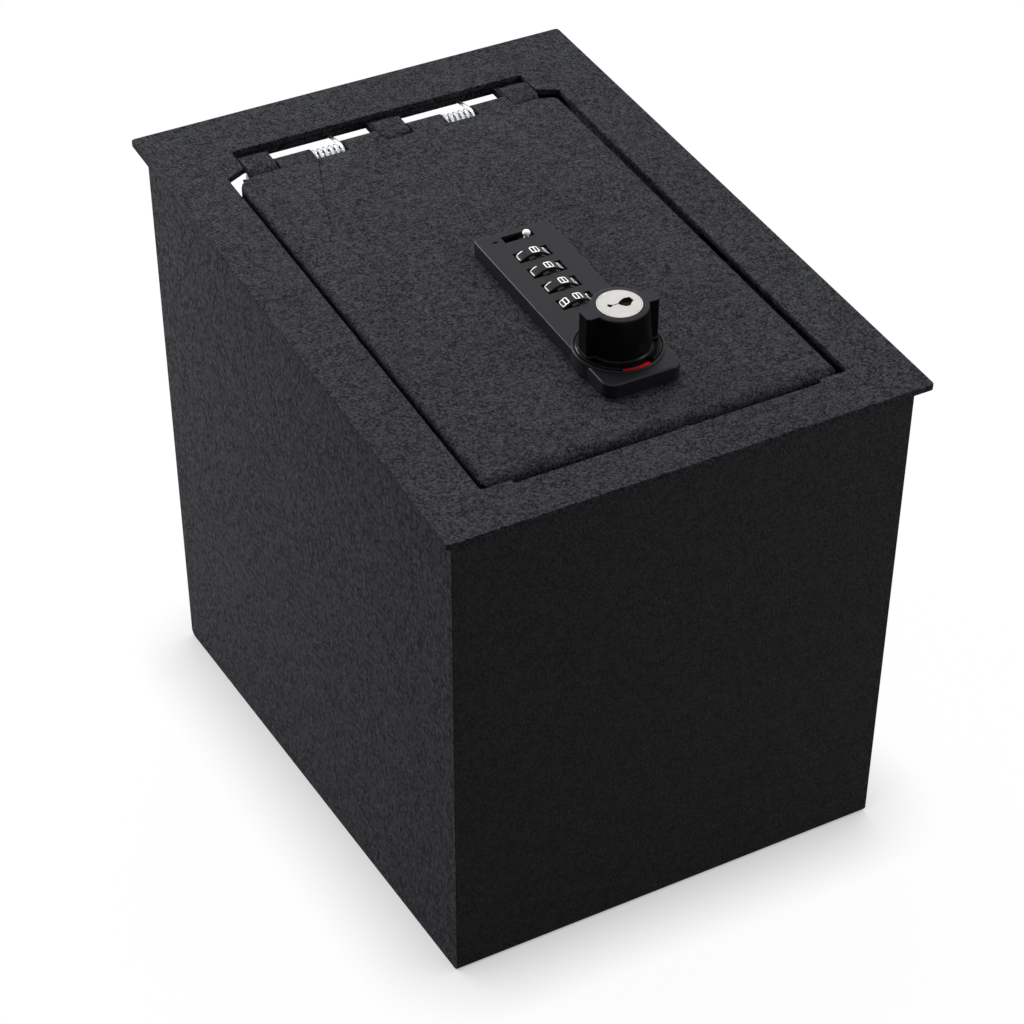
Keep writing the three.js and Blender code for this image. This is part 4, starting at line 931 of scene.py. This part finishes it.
def knobBody(size):
    base, foot, boss, rim = size["base"] / 2, size["foot"] / 2, size["boss"] / 2, size["rim"]
    outer, inner, deep = size["baseGroove"]
    low, high, step, seat = size["low"], size["high"], size["baseTop"], size["faceSeat"]
    body = turnedBody("knob", [
        (0, low), (base - 0.2, low), (base, low + 0.2), (base, step - 0.3), (base - 0.3, step),
        (outer / 2, step), (outer / 2 - 0.1, step - deep), (inner / 2 + 0.1, step - deep), (inner / 2, step),
        (foot + 0.9, step), (foot + 0.4, step + 0.15), (foot, step + 0.7), (boss, high - rim),
        (boss - rim * 0.3, high - rim * 0.3), (boss - rim, high), (0, high)], 128)
    wings = drawShape("wings", rectangle(size["span"], size["wing"], size["wingCorner"]), steps=8)
    raiseShape(wings, size["wingLow"], size["wingTop"])
    soften(wings, size["edge"], 3)
    padLong, padWide, padTop = size["pad"]
    pads = drawShape("pads", rectangle(padLong, padWide, size["padCorner"]), steps=8)
    raiseShape(pads, size["wingLow"], padTop)
    roundTop(pads, padTop, size["padEdge"])
    joinOn(body, wings, pads)
    window = sector("window", size["windowInner"] / 2, base + 1, size["windowAt"], size["windowSpan"])
    raiseShape(window, low - 1, step + 1)
    cutOut(body, window, addBar("hole", "z", size["faceHole"], seat, high + 1, (0, 0), 96))
    soften(body, size["crease"], 2, angle=40)
    cutOut(body, addBar("hole", "z", size["barrelHole"], size["barrelLow"], seat + 0.5, (0, 0), 64),
           addBar("hole", "z", size["tailHole"], low - 1, size["tailTop"], (0, 0), 48))
    # The upward faces at the knob's top take the lighter, shinier satin black: a painted highlight where the top
    # catches the light, on a knob of one gloss black.
    return paint(body, knobBlack, satinBlack,
                 lambda centre, normal: normal.z > 0.6 and centre.z > seat + 0.5)


def toKnobAxis(obj):
    obj.location = (lockX, knobY, 0)
    return applyPlace(obj)


finishPiece(toKnobAxis(knobBody(knobSize)), "knob", knobBlack, ("knob",), smooth=30)

plugSize = {
    "low": 12, "barrel": 12.6, "faceLow": 22.9, "face": 17.5, "top": 25.3, "bevel": 0.4,
    "ring": (16.3, 15.9, 0.12),
    "wideDish": [(-0.7, 0, 0.3), (0.8, 1.3, 0.5), (2.9, 2.2, 0.5), (5.2, 1.9, 0.3), (5.5, -0.7, 0.3),
                 (4.3, -1.5, 0.3), (3.0, -2.9, 0.4), (1.4, -2.9, 0.4), (-0.1, -1.3, 0.3)],
    "smallDish": [(-4.9, 0.3, 0.2), (-4.3, 1.5, 0.3), (-2.6, 0.1, 0.2), (-4.1, -0.9, 0.3)],
    "dishDeep": 1.6, "dishReach": 6, "slot": (0.4, 9, 8),
}


def keyPlug(size):
    barrel, face, top, bevel = size["barrel"] / 2, size["face"] / 2, size["top"], size["bevel"]
    outer, inner, deep = size["ring"]
    plug = turnedBody("keyPlug", [
        (0, size["low"]), (barrel - 0.3, size["low"]), (barrel, size["low"] + 0.3), (barrel, size["faceLow"]),
        (face, size["faceLow"]), (face, top - bevel), (face - bevel * 0.3, top - bevel * 0.3),
        (face - bevel, top),
        (outer / 2, top), (outer / 2 - 0.06, top - deep), (inner / 2 + 0.06, top - deep), (inner / 2, top),
        (0, top)], 96)
    width, length, depth = size["slot"]
    cutOut(plug, *(raiseShape(drawShape("dish", size[dish]), top - size["dishDeep"], top + 1)
                   for dish in ("wideDish", "smallDish")),
           addBlock("slot", (-length / 2, -width / 2, top - depth), (length / 2, width / 2, top + 1)))
    # The faces down in the dishes and the keyway get the dark brass: brass with painted shade in the recess.
    return paint(plug, nickel, keywayBrassAndShade,
                 lambda centre, normal: top - depth - 0.1 < centre.z < top - 0.2
                 and centre.xy.length < size["dishReach"])


finishPiece(toKnobAxis(keyPlug(plugSize)), "key_plug", nickel, ("key_plug",), smooth=30)
print("knob made")


# Metal parts under the lid, copied from the CAD model with their edges eased. Widths in metres.

sides, numbers = ("left", "right", "front"), (1, 2, 3, 4)
easedParts = {
    0.0003: ("lock_rear_case", *(f"bolt_{s}" for s in sides), *(f"bolt_guide_{s}" for s in sides),
             "cam_nut", "bolt_cam"),
    0.00015: ("fence_bar", "detent_spring", *(f"case_screw_{n}" for n in numbers),
              *(f"follower_pin_{s}" for s in sides), "dial_axle", "knob_spindle",
              *(f"gate_ring_{n}" for n in numbers)),
}
bodyOf = {node: body for body, nodes in frame["record"]["behaviour"]["bodies"].items() for node in nodes}
slotOf = {part["node"]: part["material_slot"] for part in frame["record"]["subparts"]}
slotFinish = {
    "powder_coat": coat, "zinc": zinc, "satin_black": satinBlack, "gloss_black": knobBlack, "nickel": nickel,
    "wheel_black": wheelBlack, "brass": brass, "white": white, "red": red, "green": green,
}


def easedCopy(node, width):
    words = node.split("_")
    obj = copyOf(frame["nodes"][node], words[0] + "".join(word.title() for word in words[1:]))
    obj.parent = None
    for mark in list(obj.keys()):
        del obj[mark]
    obj.data.materials.clear()
    tidyMesh(obj, 1e-6)
    mergeFlats(obj, 1)
    soften(obj, width, 2)
    shadeSmooth(obj, 30)
    obj.data.materials.append(slotFinish[slotOf[node]])
    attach(obj, bodyOf[node])
    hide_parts(node)


for width, names in easedParts.items():
    for node in names:
        easedCopy(node, width)
print("lock parts made")


# Camera, at the photograph's place

view = {
    "azimuth": -27.726, "elevation": 39.58, "roll": 0.221,   # in the flange's frame, degrees
    "distance": 1132.95, "target": (-10.07, -22.30, -109.9), # mm
    "lens": 97.67, "sensor": 36,
}
az, el, roll = (math.radians(view[k]) for k in ("azimuth", "elevation", "roll"))
back = Vector((math.sin(az) * math.cos(el), -math.cos(az) * math.cos(el), math.sin(el)))
side = (-back).cross(Vector((0, 0, 1))).normalized()
up = side.cross(-back)
turned = (side * math.cos(roll) + up * math.sin(roll), up * math.cos(roll) - side * math.sin(roll), back)
camData = bpy.data.cameras.new("camera")
camData.lens, camData.sensor_width, camData.sensor_fit = view["lens"], view["sensor"], "HORIZONTAL"
camData.clip_start, camData.clip_end = 0.05, 50
camera = bpy.data.objects.new("camera", camData)
bpy.context.scene.collection.objects.link(camera)
tilt = toSafe.to_3x3().normalized()
camera.matrix_world = (Matrix.Translation(toSafe @ (Vector(view["target"]) + back * view["distance"]))
                       @ (tilt @ Matrix(turned).transposed()).to_4x4())
bpy.context.scene.camera = camera


# Floor, world and lights, in metres and watts

stageLook = {
    "floorSize": 12, "floorBounce": (0.08, 0.08, 0.08), "floorRough": 0.9,
    "floorPale": 0.965, "floorShadow": (0.025, 0.025, 0.025), "footShade": 0.64, "footReach": 0.037,
    "ambient": 0.16, "aim": (0, 0, 0.15),
    "key": {"place": (0.5, 1.0, 2.6), "size": 2.3, "power": 101},
    "side": {"place": (-0.42, 0.62, 0.47), "size": 0.35, "power": 6.2},
    "fill": {"place": (0.6, -0.55, 0.45), "size": 0.4, "power": 2.3},
}


# White where the camera or a mirror looks, but plain for the light that bounces.
def seenDirectly(owner):
    path = addNode(owner, "LightPath")
    first = addNode(owner, "Math", operation="MAXIMUM")
    second = addNode(owner, "Math", operation="MAXIMUM")
    wire(owner, (path.outputs["Is Camera Ray"], first.inputs[0]),
         (path.outputs["Is Glossy Ray"], first.inputs[1]),
         (first.outputs[0], second.inputs[0]),
         (path.outputs["Is Transmission Ray"], second.inputs[1]))
    return second.outputs[0]


# A faint real shadow and a painted soft shade at the foot of the safe, on white.
def floorFinish(look):
    mat, shader = newFinish("floor", 0.0, 0.0)
    shader.inputs["Base Color"].default_value = (*look["floorBounce"], 1)
    shader.inputs["Roughness"].default_value = look["floorRough"]
    shadow = addNode(mat, "BsdfDiffuse", Color=(*look["floorShadow"], 1))
    # The shade at the foot is painted: occlusion dims the floor's glow near the safe.
    foot = addNode(mat, "AmbientOcclusion", samples=16, Distance=look["footReach"])
    shade = addRange(mat, (0, 1), (look["floorPale"] - look["footShade"], look["floorPale"]))
    glow = addNode(mat, "Emission", Color=(1, 1, 1, 1))
    both = addNode(mat, "AddShader")
    mix = addNode(mat, "MixShader")
    wire(mat, (seenDirectly(mat), mix.inputs[0]),
         (foot.outputs["AO"], shade.inputs["Value"]),
         (shade.outputs["Result"], glow.inputs["Strength"]),
         (shadow.outputs[0], both.inputs[0]),
         (glow.outputs[0], both.inputs[1]),
         (shader.outputs[0], mix.inputs[1]),
         (both.outputs[0], mix.inputs[2]),
         (mix.outputs[0], mat.node_tree.nodes["Material Output"].inputs["Surface"]))
    return mat


bpy.ops.mesh.primitive_plane_add(size=stageLook["floorSize"])
floor = bpy.context.object
floor.name = "floor"
floor.data.materials.append(floorFinish(stageLook))

world = bpy.data.worlds.new("studio")
bpy.context.scene.world = world
world.use_nodes = True
soft = world.node_tree.nodes["Background"]
soft.inputs["Color"].default_value = (1, 1, 1, 1)
soft.inputs["Strength"].default_value = stageLook["ambient"]
pureWhite = addNode(world, "Background", Color=(1, 1, 1, 1))
mix = addNode(world, "MixShader")
wire(world, (seenDirectly(world), mix.inputs[0]), (soft.outputs[0], mix.inputs[1]),
     (pureWhite.outputs[0], mix.inputs[2]),
     (mix.outputs[0], world.node_tree.nodes["World Output"].inputs["Surface"]))

for name in ("key", "side", "fill"):
    lamp = stageLook[name]
    data = bpy.data.lights.new(name, "AREA")
    data.shape, data.size, data.energy = "DISK", lamp["size"], lamp["power"]
    light = bpy.data.objects.new(name, data)
    bpy.context.scene.collection.objects.link(light)
    light.location = lamp["place"]
    light.visible_glossy = name != "key"      # or the smooth black lock would mirror it
    aim = Vector(stageLook["aim"]) - Vector(lamp["place"])
    light.rotation_euler = aim.to_track_quat("-Z", "Y").to_euler()
bpy.context.scene.view_settings.view_transform = "Standard"
print("stage made")

# Finishes for the CAD nodes, the hidden ones too
for part in frame["record"]["subparts"]:
    node = frame["nodes"][part["node"]]
    node.data.materials.clear()
    node.data.materials.append(slotFinish[part["material_slot"]])
